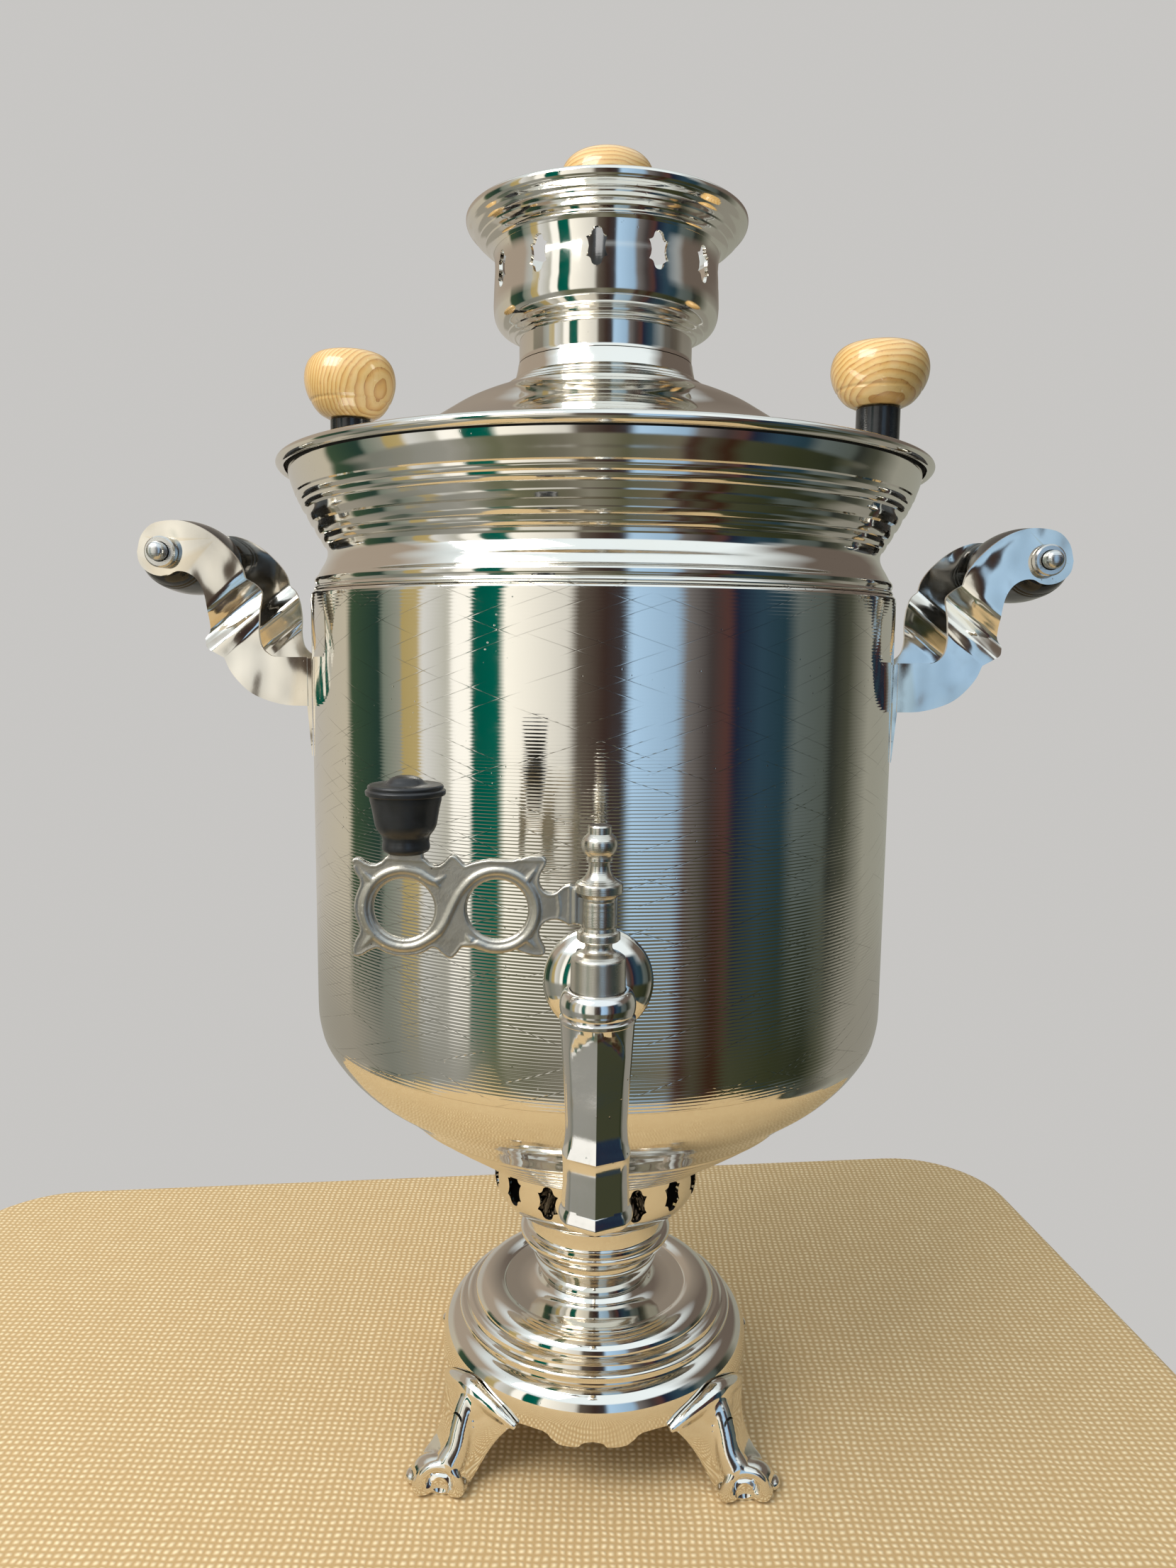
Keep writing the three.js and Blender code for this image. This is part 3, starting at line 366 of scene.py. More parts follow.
def cut(piece, tool, operation="DIFFERENCE"):
    """Cuts the piece with another one, which is then thrown away."""
    apply(piece, "BOOLEAN", operation=operation, solver="EXACT", object=tool)
    bpy.data.objects.remove(tool)
    return piece


# %% Pen, lathe and plate
def flowing(*strokes, steps=6):
    """Points on smooth curves through each stroke. Strokes meet in sharp corners."""
    line = []
    for stroke in strokes:
        points = [Vector(point) for point in stroke]
        if len(points) < 3:
            line += points
            continue
        lengths = [max((b - a).length, 1e-6) for a, b in zip(points, points[1:])]
        slopes = []
        for i, point in enumerate(points):
            if i == 0:
                slopes.append((points[1] - point) / lengths[0])
            elif i == len(points) - 1:
                slopes.append((point - points[i - 1]) / lengths[-1])
            else:
                before, after = lengths[i - 1], lengths[i]
                into = (point - points[i - 1]) / before
                out = (points[i + 1] - point) / after
                slopes.append((into * after + out * before) / (before + after))
        for i, length in enumerate(lengths):
            for step in range(steps):
                t = step / steps
                leaving = slopes[i] * length * (t**3 - 2 * t**2 + t)
                arriving = slopes[i + 1] * length * (t**3 - t**2)
                near, far = 2 * t**3 - 3 * t**2 + 1, 3 * t**2 - 2 * t**3
                line.append(points[i] * near + leaving + points[i + 1] * far + arriving)
        line.append(points[-1])
    kept = [line[0]]
    for point in line[1:]:
        if (point - kept[-1]).length > 0.01:
            kept.append(point)
    return kept


def pen(name, points):
    """An outline drawn with one vertex, extruded from point to point."""
    bpy.ops.object.select_all(action="DESELECT")
    bpy.ops.mesh.primitive_plane_add(size=MM)
    piece = bpy.context.object
    piece.name = name
    bpy.ops.object.mode_set(mode="EDIT")
    bpy.ops.mesh.merge(type="CENTER")
    bpy.ops.transform.translate(value=Vector(points[0]) * MM)
    for start, end in zip(points, points[1:]):
        step = (Vector(end) - Vector(start)) * MM
        bpy.ops.mesh.extrude_region_move(TRANSFORM_OT_translate={"value": step})
    bpy.ops.mesh.select_all(action="SELECT")
    return piece


def spun(name, section, axis=BOILER, steps=144, smooth=38):
    """A section of (radius, height) points turned once round an upright axis."""
    pen(name, [(axis.x + point[0], axis.y, point[1]) for point in section])
    bpy.ops.mesh.spin(steps=steps, angle=2 * pi, center=axis * MM, axis=(0, 0, 1))
    leave()
    return tidy(bpy.context.object, smooth)


def plate(name, outline, depth, place=Vector((0, 0, 0)), smooth=38):
    """A flat outline of (x, z) points filled and given depth along y, its front face at the place."""
    pen(name, [(place.x + point[0], place.y, place.z + point[1]) for point in outline])
    bpy.ops.mesh.remove_doubles(threshold=0.004 * MM)
    bpy.ops.mesh.edge_face_add()
    bpy.ops.mesh.extrude_region_move(TRANSFORM_OT_translate={"value": (0, depth * MM, 0)})
    leave()
    return tidy(bpy.context.object, smooth)


def turned_round(piece, angle, axis=BOILER, around="Z"):
    """Turns a piece in its mesh, by an angle in degrees, round an upright or other axis."""
    centre = Matrix.Translation(axis * MM)
    piece.data.transform(centre @ Matrix.Rotation(radians(angle), 4, around) @ centre.inverted())
    return piece


def across(name, line, centre, steps=48, smooth=38, around="X"):
    """A section turned round a level axis. Heights in the section run to the front, or to the right."""
    piece = spun(name, line, axis=Vector((0, 0, 0)), steps=steps, smooth=smooth)
    piece.data.transform(Matrix.Translation(centre * MM) @ Matrix.Rotation(pi / 2, 4, around))
    return piece


def rod(radius, low, high):
    """The section of a plain round bar."""
    return [(0, low), (radius, low), (radius, high), (0, high)]


def block(centre, size):
    """A box for cutting, by its middle and its lengths."""
    bpy.ops.mesh.primitive_cube_add(size=1)
    piece = bpy.context.object
    piece.data.transform(Matrix.Translation(centre * MM) @ Matrix.Diagonal((*(length * MM
                                                                              for length in size), 1)))
    return piece


def held_in(line, right, low=0.0, high=1000.0, left=0.0):
    """A line kept within a radius and between two heights."""
    return [Vector((min(max(p.x, left), right), min(max(p.y, low), high))) for p in line]


# %% [markdown]
# ## Finishes
#
# A finish is a node material, and what several finishes share is a node group with its own inputs:
# smudges that dull the shine in patches, fine scratches, turning marks round an axis and grain. All
# patterns are read from Object coordinates, so they stay in the metal when a piece moves.


# %% Groups and materials
def new_group(name, inputs, outputs):
    """A shader node group with named inputs, given as kind and value, and named outputs."""
    tree = bpy.data.node_groups.new(name, "ShaderNodeTree")
    for label, (kind, value) in inputs.items():
        socket = tree.interface.new_socket(label, in_out="INPUT", socket_type="NodeSocket" + kind)
        if value is not None:
            socket.default_value = value
    for label, kind in outputs.items():
        tree.interface.new_socket(label, in_out="OUTPUT", socket_type="NodeSocket" + kind)
    print("group:", name)
    return tree, tree.nodes.new("NodeGroupInput").outputs, tree.nodes.new("NodeGroupOutput")


def give(tree, outs, **values):
    """Links values to the outputs of a group."""
    for name, socket in values.items():
        tree.links.new(socket, outs.inputs[name])


def use(tree, group, inputs):
    return add_node(tree, "Group", inputs, node_tree=group).outputs


def new_material(name):
    """An empty node material, with its tree and its Object coordinates."""
    material = bpy.data.materials.new(name)
    material.use_nodes = True
    tree = material.node_tree
    tree.nodes.clear()
    return material, tree, add_node(tree, "TexCoord").outputs["Object"]


def surface(tree, colour, rough, height, more=None):
    """Ends a material: a principled shader with bump from a height in millimetres."""
    bump = add_node(tree, "Bump", {"Height": height, "Distance": MM, "Strength": 1.0}).outputs[0]
    inputs = {"Base Color": colour, "Roughness": rough, "Normal": bump, **(more or {})}
    shader = add_node(tree, "BsdfPrincipled", inputs)
    add_node(tree, "OutputMaterial", {"Surface": shader.outputs[0]})


# %% [markdown]
# Round ware needs round coordinates: the way round the axis in metres of arc, and the height. A
# pattern laid on them follows the lathe, as the real marks do.

# %% Group: round coordinates
round_ware, ins, outs = new_group(
    "round_ware", {"Vector": ("Vector", None), "Axis Y": ("Float", 0.0)},
    {"Arc": "Float", "Height": "Float"})
parts = add_node(round_ware, "SeparateXYZ", {0: ins["Vector"]}).outputs
deep = calc(round_ware, "SUBTRACT", parts["Y"], ins["Axis Y"])
square = calc(round_ware, "ADD", times(round_ware, parts["X"], parts["X"]), times(round_ware, deep, deep))
angle = calc(round_ware, "ARCTAN2", parts["X"], times(round_ware, deep, -1.0))
arc = times(round_ware, angle, calc(round_ware, "SQRT", square))
give(round_ware, outs, Arc=arc, Height=parts["Z"])

# %% [markdown]
# Turning marks are the fine even lines that a lathe tool leaves. A sine along the height would be too
# perfect, so the height is first pushed about a little, and the depth fades in and out in patches.

# %% Group: turning marks
turning, ins, outs = new_group("turning_marks", {
    "Arc": ("Float", 0.0), "Height": ("Float", 0.0), "Pitch": ("Float", 0.0011), "Patch": ("Float", 0.5)},
    {"Marks": "Float"})
along = add_node(turning, "CombineXYZ", {"X": ins["Arc"], "Y": ins["Height"]}).outputs[0]
drawn_out = stretched(turning, along, (9.0, 60.0, 1.0))
pushed = added(turning, noise(turning, drawn_out, 1.0), 0.0016, ins["Height"])
wave = calc(turning, "SINE", times(turning, calc(turning, "DIVIDE", pushed, ins["Pitch"]), 2 * pi))
fade = ranged(turning, noise(turning, drawn_out, 0.33, 3.0), 0.32, ins["Patch"])
give(turning, outs, Marks=times(turning, wave, fade))

# %% [markdown]
# Scratches are thin straight lines at a slant, dark against the mirror. The surface is ruled into slanted
# rows, each row is cut into lengths that start at a random place, and some of these cells hold one line.

# %% Group: slanting scratches
scratches, ins, outs = new_group("scratches", {
    "Arc": ("Float", 0.0), "Height": ("Float", 0.0), "Slant": ("Float", 0.3), "Spacing": ("Float", 0.005),
    "Length": ("Float", 0.02), "Width": ("Float", 0.0002), "Share": ("Float", 0.5)}, {"Scratch": "Float"})


def from_middle(value, centre):
    """How far the fraction of a value lies from a centre."""
    return calc(scratches, "ABSOLUTE", calc(scratches, "SUBTRACT", calc(scratches, "FRACT", value), centre))


lean = added(scratches, ins["Arc"], times(scratches, ins["Slant"], -1.0), ins["Height"])
rows = calc(scratches, "DIVIDE", lean, ins["Spacing"])
row = calc(scratches, "FLOOR", rows)
start = add_node(scratches, "TexWhiteNoise", {"W": row}, noise_dimensions="1D").outputs["Value"]
lengths = calc(scratches, "ADD", calc(scratches, "DIVIDE", ins["Arc"], ins["Length"]), start)
cell = add_node(scratches, "CombineXYZ", {"X": calc(scratches, "FLOOR", lengths), "Y": row}).outputs[0]
chance = add_node(scratches, "TexWhiteNoise", {"Vector": cell}, noise_dimensions="2D").outputs
chance_place = add_node(scratches, "SeparateXYZ", {0: chance["Color"]}).outputs["Y"]
away = from_middle(rows, added(scratches, chance_place, 0.7, 0.15))
line = ranged(scratches, times(scratches, away, ins["Spacing"]), ins["Width"], 0.0)
ends = ranged(scratches, from_middle(lengths, 0.5), 0.5, 0.25)
held = calc(scratches, "LESS_THAN", chance["Value"], ins["Share"])
give(scratches, outs, Scratch=times(scratches, times(scratches, line, ends), held))

# %% [markdown]
# Handling leaves patches of dullness on a mirror. Two noises of different size are mixed and kept
# within a narrow range, so the shine breathes without looking dirty.

# %% Group: smudges
smudges, ins, outs = new_group(
    "smudges", {"Vector": ("Vector", None), "Clean": ("Float", 0.05), "Dull": ("Float", 0.16)},
    {"Roughness": "Float", "Mask": "Float"})
broad = noise(smudges, ins["Vector"], 22.0, 4.0)
fine = noise(smudges, ins["Vector"], 260.0, 3.0, Distortion=0.4)
mask = ranged(smudges, added(smudges, fine, 0.35, times(smudges, broad, 0.65)), 0.42, 0.68)
give(smudges, outs, Roughness=ranged(smudges, mask, 0.0, 1.0, ins["Clean"], ins["Dull"]), Mask=mask)

# %% [markdown]
# Plated brass is never one grey. The nickel is a little warmer where it is thin, as on edges and
# ridges, and there are specks where the plate is pitted. Pointiness finds the edges.

# %% Group: worn plate
PIT_COLOUR = (0.16, 0.13, 0.1, 1)
worn_plate, ins, outs = new_group("worn_plate", {
    "Vector": ("Vector", None), "Nickel": ("Color", (0.8, 0.77, 0.71, 1)),
    "Thin": ("Color", (0.72, 0.6, 0.42, 1)), "Wear": ("Float", 0.5), "Specks": ("Float", 0.3)},
    {"Color": "Color", "Pits": "Float"})
ridge = ranged(worn_plate, add_node(worn_plate, "NewGeometry").outputs["Pointiness"], 0.53, 0.62)
patch = ranged(worn_plate, noise(worn_plate, ins["Vector"], 35.0, 5.0), 0.5, 0.75)
bare = calc(worn_plate, "MULTIPLY", added(worn_plate, patch, 0.4, ridge), ins["Wear"], clamp=True)
tone = blend(worn_plate, bare, ins["Nickel"], ins["Thin"])
speck = add_node(worn_plate, "TexVoronoi", {"Vector": ins["Vector"], "Scale": 420.0}).outputs["Distance"]
few = ranged(worn_plate, noise(worn_plate, ins["Vector"], 60.0), 0.52, 0.66)
pits = times(worn_plate, times(worn_plate, ranged(worn_plate, speck, 0.12, 0.05), few), ins["Specks"])
give(worn_plate, outs, Color=blend(worn_plate, pits, tone, PIT_COLOUR), Pits=pits)

# %% [markdown]
# The metals differ in a few numbers: how polished they are, how wavy, and how much the tool shows. One
# function therefore builds them all from the groups, and each finish is a call with its own values.

# %% Metal finishes
SCRATCH_COLOUR = (0.1, 0.09, 0.07, 1)
SCRATCH_SHARES = ((1, 0.55), (-1, 0.4))


def metal(name, nickel, thin=(0.72, 0.6, 0.42, 1), clean=0.05, dull=0.14, wear=0.5, specks=0.3, wave=0.05,
          axis=BOILER, marks=0.0, pitch=1.1, patch=0.5, scratch=0.0, slant=0.3, spacing=4.0, length=40.0,
          grain=0.0, grain_size=0.5):
    """A metal whose marks follow the lathe round an axis. Lengths are in millimetres."""
    material, tree, spot = new_material(name)
    ware = use(tree, round_ware, {"Vector": spot, "Axis Y": axis.y * MM})
    round_place = {"Arc": ware["Arc"], "Height": ware["Height"]}
    worn = {"Vector": spot, "Nickel": nickel, "Thin": thin, "Wear": wear, "Specks": specks}
    plated = use(tree, worn_plate, worn)
    height = times(tree, noise(tree, spot, 55.0, 1.0), wave)
    rough = use(tree, smudges, {"Vector": spot, "Clean": clean, "Dull": dull})["Roughness"]
    tone = plated["Color"]
    if marks:
        lines = use(tree, turning, {**round_place, "Pitch": pitch * MM, "Patch": patch})["Marks"]
        height = added(tree, lines, marks, height)
    for side, share in SCRATCH_SHARES if scratch else ():
        ruling = {"Slant": side * slant, "Spacing": spacing * MM, "Length": length * MM, "Share": share}
        dash = use(tree, scratches, {**round_place, **ruling})["Scratch"]
        height = added(tree, dash, -scratch, height)
        rough = added(tree, dash, 0.08, rough)
        tone = blend(tree, times(tree, dash, 0.35), tone, SCRATCH_COLOUR)
    if grain:
        height = added(tree, noise(tree, spot, 1000 / grain_size, 4.0, Roughness=0.6), grain, height)
    height = added(tree, plated["Pits"], -0.05, height)
    surface(tree, tone, rough, height, {"Metallic": 1.0})
    return material


NICKEL = (0.80, 0.77, 0.71, 1)
polished = metal("polished_nickel", NICKEL, clean=0.04, dull=0.11, wear=0.25, specks=0.2, wave=0.02)
can_wall = metal("turned_can_wall", NICKEL, clean=0.035, dull=0.09, wear=0.15, specks=0.5, wave=0.02,
                 marks=0.011, pitch=1.0, patch=0.44, scratch=0.009, slant=0.33, spacing=5.0, length=20.0)
tap_metal = metal("cast_tap", (0.78, 0.76, 0.73, 1), clean=0.06, dull=0.16, wear=0.3, specks=1.0, wave=0.15,
                  axis=PLUG, grain=0.012, grain_size=1.6)
ear_metal = metal("pressed_ears", NICKEL, clean=0.07, dull=0.2, wear=0.5, specks=0.4, wave=2.4, grain=0.01,
                  grain_size=3.0)
plug_metal = metal("turned_plug", (0.66, 0.63, 0.57, 1), clean=0.24, dull=0.34, wear=0.2, specks=0.4,
                   wave=0.01, axis=PLUG, marks=0.005, pitch=0.35, patch=0.4)
key_metal = metal("cast_key", (0.50, 0.47, 0.41, 1), thin=(0.78, 0.74, 0.66, 1), clean=0.34, dull=0.5,
                  wear=1.0, specks=1.0, wave=0.12, axis=PLUG, grain=0.06, grain_size=0.9)
steel = metal("turned_steel", (0.62, 0.62, 0.61, 1), clean=0.2, dull=0.34, wear=0.2, specks=0.5, wave=0.02,
              marks=0.006, pitch=0.5)
tinned = metal("tinned_brass", (0.55, 0.5, 0.38, 1), clean=0.3, dull=0.5, wear=0.4, specks=0.8,
               marks=0.01, pitch=1.6)
iron = metal("cast_iron", (0.07, 0.068, 0.065, 1), thin=(0.13, 0.11, 0.09, 1), clean=0.6, dull=0.85,
             wear=0.6, wave=0.2, grain=0.12, grain_size=1.8)
metals = (polished, can_wall, ear_metal, tap_metal, plug_metal, key_metal, steel, tinned, iron)
print("metals:", [m.name for m in metals])

# %% [markdown]
# The knobs are pale lacquered wood. Year rings are cones of late and early wood round the tree's
# pith, so the knob's own place is bent by a noise and measured from a line beside it. The rings run to
# fine lines on the sides and to loops near the top. A coat gives the lacquer's sharp shine.


# %% Wood
def wood(name, pith, lean, ring_gap=1.9):
    """Lacquered wood whose rings run round a leaning line through the pith, in millimetres."""
    material, tree, spot = new_material(name)
    placing = {"Vector": spot, "Location": pith * -MM, "Rotation": lean}
    placed = add_node(tree, "Mapping", placing, vector_type="TEXTURE").outputs[0]
    bend = add_node(tree, "TexNoise", {"Vector": placed, "Scale": 70.0, "Detail": 2.0}).outputs["Color"]
    bending = {0: bend, 1: (0.0035, 0.0035, 0.0035), 2: placed}
    bent = add_node(tree, "VectorMath", bending, operation="MULTIPLY_ADD").outputs[0]
    axes = add_node(tree, "SeparateXYZ", {0: bent}).outputs
    square = calc(tree, "ADD", times(tree, axes["X"], axes["X"]), times(tree, axes["Y"], axes["Y"]))
    ring_count = calc(tree, "DIVIDE", calc(tree, "SQRT", square), ring_gap * MM)
    late = ranged(tree, calc(tree, "FRACT", ring_count), 0.35, 0.95)
    fibre = noise(tree, stretched(tree, placed, (1600.0, 1600.0, 90.0)), 1.0)
    pore = ranged(tree, fibre, 0.58, 0.7)
    depth = added(tree, pore, 0.22, times(tree, late, 0.75), clamp=True)
    colour = ramp(tree, depth, [(0.0, (0.84, 0.56, 0.22)), (0.45, (0.76, 0.44, 0.14)),
                                (0.8, (0.58, 0.28, 0.075)), (1.0, (0.4, 0.17, 0.045))])
    gloss = ranged(tree, fibre, 0.0, 1.0, 0.3, 0.5)
    surface(tree, colour, gloss, times(tree, depth, -0.05), {"Coat Weight": 0.8, "Coat Roughness": 0.08})
    return material


# %% [markdown]
# The black pieces are turned from dark plastic: nearly black, with faint rings from the tool and dust
# that dulls them in patches. A rubber washer is the same thing without the shine.


# %% Black plastic and rubber
DUST = (0.05, 0.055, 0.06, 1)


def black(name, clean, dull, tone=0.012, ring=0.004, axis=BOILER, pitch=0.8):
    """A dark piece from the lathe. Lengths are in millimetres."""
    material, tree, spot = new_material(name)
    ware = use(tree, round_ware, {"Vector": spot, "Axis Y": axis.y * MM})
    smudge = use(tree, smudges, {"Vector": spot, "Clean": clean, "Dull": dull})
    turned = {"Arc": ware["Arc"], "Height": ware["Height"], "Pitch": pitch * MM}
    lines = use(tree, turning, turned)["Marks"]
    dusty = blend(tree, times(tree, smudge["Mask"], 0.35), (tone, tone, tone * 1.05, 1), DUST)
    height = added(tree, lines, ring, times(tree, noise(tree, spot, 900.0, 3.0), 0.012))
    surface(tree, dusty, smudge["Roughness"], height)
    return material


gloss_black = black("gloss_black", 0.12, 0.26)
key_black = black("key_knob_black", 0.3, 0.5, tone=0.016, axis=PLUG)
rubber = black("washer_rubber", 0.7, 0.9, tone=0.02)
# Near-black material: soot on the fire tube, the dark inner faces of the vent collar, and a painted shadow
# line under the top ring's rolled rim.
soot_and_shade_black = black("soot_and_grime", 0.8, 0.95, tone=0.008)
print("blacks:", [m.name for m in (gloss_black, key_black, rubber, soot_and_shade_black)])

# %% [markdown]
# One last helper dresses a piece: it gives it its material, makes it ride on the body of the solid
# that it stands for, hides that solid and notes its name on the piece.

# %% Dressing
def body_of(node):
    return frame["nodes"][node].parent.name.split(":", 1)[1]


def slot_of(node):
    return next(part["material_slot"] for part in frame["record"]["subparts"] if part["node"] == node)


def dress(piece, material, node):
    """Puts the material on and lets the piece stand for a solid of the frame."""
    piece.data.materials.clear()
    piece.data.materials.append(material)
    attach(piece, body_of(node))
    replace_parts(piece, node)
    piece.data.calc_loop_triangles()
    print(piece.name, len(piece.data.loop_triangles), "triangles")
    return piece


def darken(piece, material, nearest, farthest, highest, lowest=0, inward=True):
    """Gives a second material to the faces between two radii and two heights, if wanted only inside."""
    piece.data.materials.append(material)
    dark = 0
    for face in piece.data.polygons:
        spot = face.center / MM - BOILER
        outward = Vector((spot.x, spot.y, 0)).normalized()
        facing = not inward or face.normal.dot(outward) < -0.3 or face.normal.z > 0.7
        if facing and nearest < math.hypot(spot.x, spot.y) < farthest and lowest < spot.z < highest:
            face.material_index = 1
            dark += 1
    print(piece.name, "dark faces:", dark)
    return piece


def keep(node, material):
    """Leaves a solid of the frame in sight, with a better material."""
    slots = frame["nodes"][node].material_slots
    for slot in slots:
        slot.material = material
    if not slots:
        frame["nodes"][node].data.materials.append(material)
    print("kept:", node)


# %% [markdown]
# ## The table
#
# The samovar stands on a table under a coarse straw-coloured cloth. Its warm tone matters, because the
# underside of the can and the pedestal show it. A rounded plate with a soft edge is enough, and two
# crossed waves with a noise make the weave.

# %% Table
TABLE_HALF, TABLE_REAR, TABLE_TURN = (0.268, 0.241), 0.214, radians(7)
bpy.ops.object.select_all(action="DESELECT")
middle_place = (-0.024, TABLE_REAR - TABLE_HALF[1], 0)
bpy.ops.mesh.primitive_plane_add(size=2, location=middle_place, rotation=(0, 0, TABLE_TURN))
table = bpy.context.object
table.name = "table_top"
table.scale = (*TABLE_HALF, 1)
bpy.ops.object.transform_apply(location=True, rotation=True, scale=True)
edit(table)
bpy.ops.mesh.select_all(action="SELECT")
bpy.ops.mesh.bevel(offset=0.05, segments=10, affect="VERTICES")
bpy.ops.mesh.extrude_region_move(TRANSFORM_OT_translate={"value": (0, 0, -0.03)})
leave()
tidy(table, 60)
apply(table, "BEVEL", width=0.006, segments=5, limit_method="ANGLE")
top_shift = max(v.co.z for v in table.data.vertices)
table.data.transform(Matrix.Translation((0, 0, -top_shift)))
cloth, tree, spot = new_material("pale_table")
weave = {"Vector": spot, "Scale": 120.0, "Distortion": 2.5, "Detail": 2.0}
warp, weft = (add_node(tree, "TexWave", weave, bands_direction=way).outputs["Fac"] for way in "XY")
slubs = noise(tree, spot, 90.0, 4.0)
woven = times(tree, times(tree, warp, weft), calc(tree, "ADD", slubs, 0.45))
tint = blend(tree, woven, (0.56, 0.37, 0.17, 1), (0.95, 0.77, 0.48, 1))
lift = add_node(tree, "Bump", {"Height": woven, "Distance": 0.0004, "Strength": 0.6}).outputs[0]
matt = add_node(tree, "BsdfPrincipled", {"Base Color": tint, "Roughness": 0.9, "Normal": lift})
add_node(tree, "OutputMaterial", {"Surface": matt.outputs[0]})
table.data.materials.append(cloth)
table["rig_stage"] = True
print("table top at z =", round(max(v.co.z for v in table.data.vertices), 4))

# %% [markdown]
# ## The boiler
#
# Each shell is thin brass, spun or raised on a lathe and then nickelled. Its section is drawn from the
# foot up as an outer line, with an inner line one sheet's thickness inside, and spun round. Where the
# real ware has a bead or a step, two strokes of the pen meet in a sharp corner.


# %% Beads and open work
def beaded(line, places, height, width, by=0):
    """Raises fine beads on the right of a line, at these radii or, with by=1, at these heights."""
    dense = []
    for start, end in zip(line, line[1:]):
        count = max(1, math.ceil((end - start).length / 0.4))
        dense += [start.lerp(end, i / count) for i in range(count)]
    dense.append(line[-1])
    raised = []
    for i, point in enumerate(dense):
        side = (dense[min(i + 1, len(dense) - 1)] - dense[max(i - 1, 0)]).normalized()
        lift = sum(height * max(0, 1 - ((point[by] - place) * 2 / width) ** 2) for place in places)
        raised.append(point + Vector((side.y, -side.x)) * lift)
    return raised


def section(outer, inner):
    """Closes an outer line, drawn from the foot up, with an inner one, drawn from the top down."""
    return [*outer, *[Vector(point) for point in inner], outer[0]]


VENT_SHARES = [[(0, 1), (0.25, 0.97), (0.45, 0.85), (0.54, 0.68), (0.62, 0.6), (1, 0.5)],
               [(1, 0.5), (0.84, 0.3), (0.74, 0.0)]]


def vents(piece, count, turn, height, reach, half_width, half_height):
    """Pierces a ring of ornamental openings through a shell, all with one joined cutter."""
    quarter = [Vector((x * half_width, z * half_height)) for x, z in flowing(*VENT_SHARES, steps=3)]
    right = quarter + [Vector((p.x, -p.y)) for p in reversed(quarter[:-1])]
    outline = right + [Vector((-p.x, p.y)) for p in reversed(right[1:-1])]
    cutters = []
    for i in range(count):
        spot = Vector((0, BOILER.y - reach - 6, height))
        cutter = plate(f"vent_{i}", outline + [outline[0]], 12, spot)
        cutters.append(turned_round(cutter, turn + 360 * i / count))
    return cut(piece, joined("vents", cutters))


# %% [markdown]
# The vent collar is the cup under the fire. It is open all round with fifteen cut openings, each a
# pointed lens with a spur at either side, and its upper edge is tucked under the dished bottom.

# %% Vent collar
outer = flowing([(27.2, 82.3), (29.6, 82.6), (31.8, 83.5), (34.4, 85.2), (36.1, 87.4), (37.3, 89.6),
                 (37.8, 92.1),
                 (37.8, 104.8)], [(37.8, 105.2), (38.0, 105.9), (37.8, 106.7)], steps=4)
inner = [(36.6, 106.7), (36.6, 92.3), (36.1, 90.1), (35.1, 88.1), (33.5, 86.1), (31.2, 84.6), (29.2, 83.8),
         (27.2, 83.5)]
collar = spun("vent_collar_shell", section(held_in(outer, 37.8), inner), steps=120)
vents(collar, 15, -2, 96, 37.8, 4.0, 6.0)
# The faces inside the cup, facing inward or up, get the near-black material.
darken(dress(tidy(collar, 32), polished, "vent_collar"), soot_and_shade_black, 20, 37, 200)

# %% [markdown]
# The dished bottom is a shallow bowl. Six fine beads run round its lower part, and it is so well
# polished that it mirrors the table.

# %% Dished bottom
bowl = flowing([(35.3, 107), (41, 107), (46.2, 107.2), (50.3, 110), (55.9, 114), (62.8, 119), (70.7, 125),
                (78.9, 132), (88.8, 140), (95.4, 148), (98.6, 154), (99.3, 156.98)], steps=5)
bowl = beaded(held_in(bowl, 99.3, 107), [48.5, 52.4, 56.6, 61, 65.5, 70], 0.45, 1.9)
inner = [(98.1, 157), (97.7, 155), (94.6, 148.7), (88, 141), (78.1, 132.9), (69.9, 125.9), (62.1, 119.9),
         (55.2, 115), (49.4, 110.9), (45.6, 108.4), (35.3, 108.2)]
dress(spun("dished_bottom", section(bowl, inner)), polished, "reservoir_bottom")

# %% [markdown]
# The wall is a plain cylinder, turned once more after soldering, which leaves fine level lines. At its
# foot the seam is filled with solder and polished flush with the bottom. At its top it is rolled in a
# little, so that a dark seam shows against the top ring.

# %% Wall
WALL_RADIUS, SEAM_RADIUS = 100, 100.3
outer = flowing([(99.31, 157.02), (99.82, 160.2), (100, 164)],
                [(100, 164), (100, 208), (100, 256), (100, 302.6)],
                [(100, 302.6), (99.8, 303.7), (99.3, 304.3)], steps=3)
inner = [(98.1, 304.3), (98.6, 303), (98.6, 160.5), (98.1, 157.02)]
can = spun("can_wall", section(outer, inner), steps=180)
TAP_Z = 196
ROSETTE = BOILER + Vector((0, -WALL_RADIUS, TAP_Z))
cut(can, across("drill", rod(6.3, -20, 20), ROSETTE))
dress(tidy(can, 30), can_wall, "reservoir_wall")

# %% [markdown]
# The top ring narrows to a waist and flares out again to the rolled rim that carries the lid. Four
# stepped ridges and two fine lines break the flare. Each ridge shows the warm table on its underside.

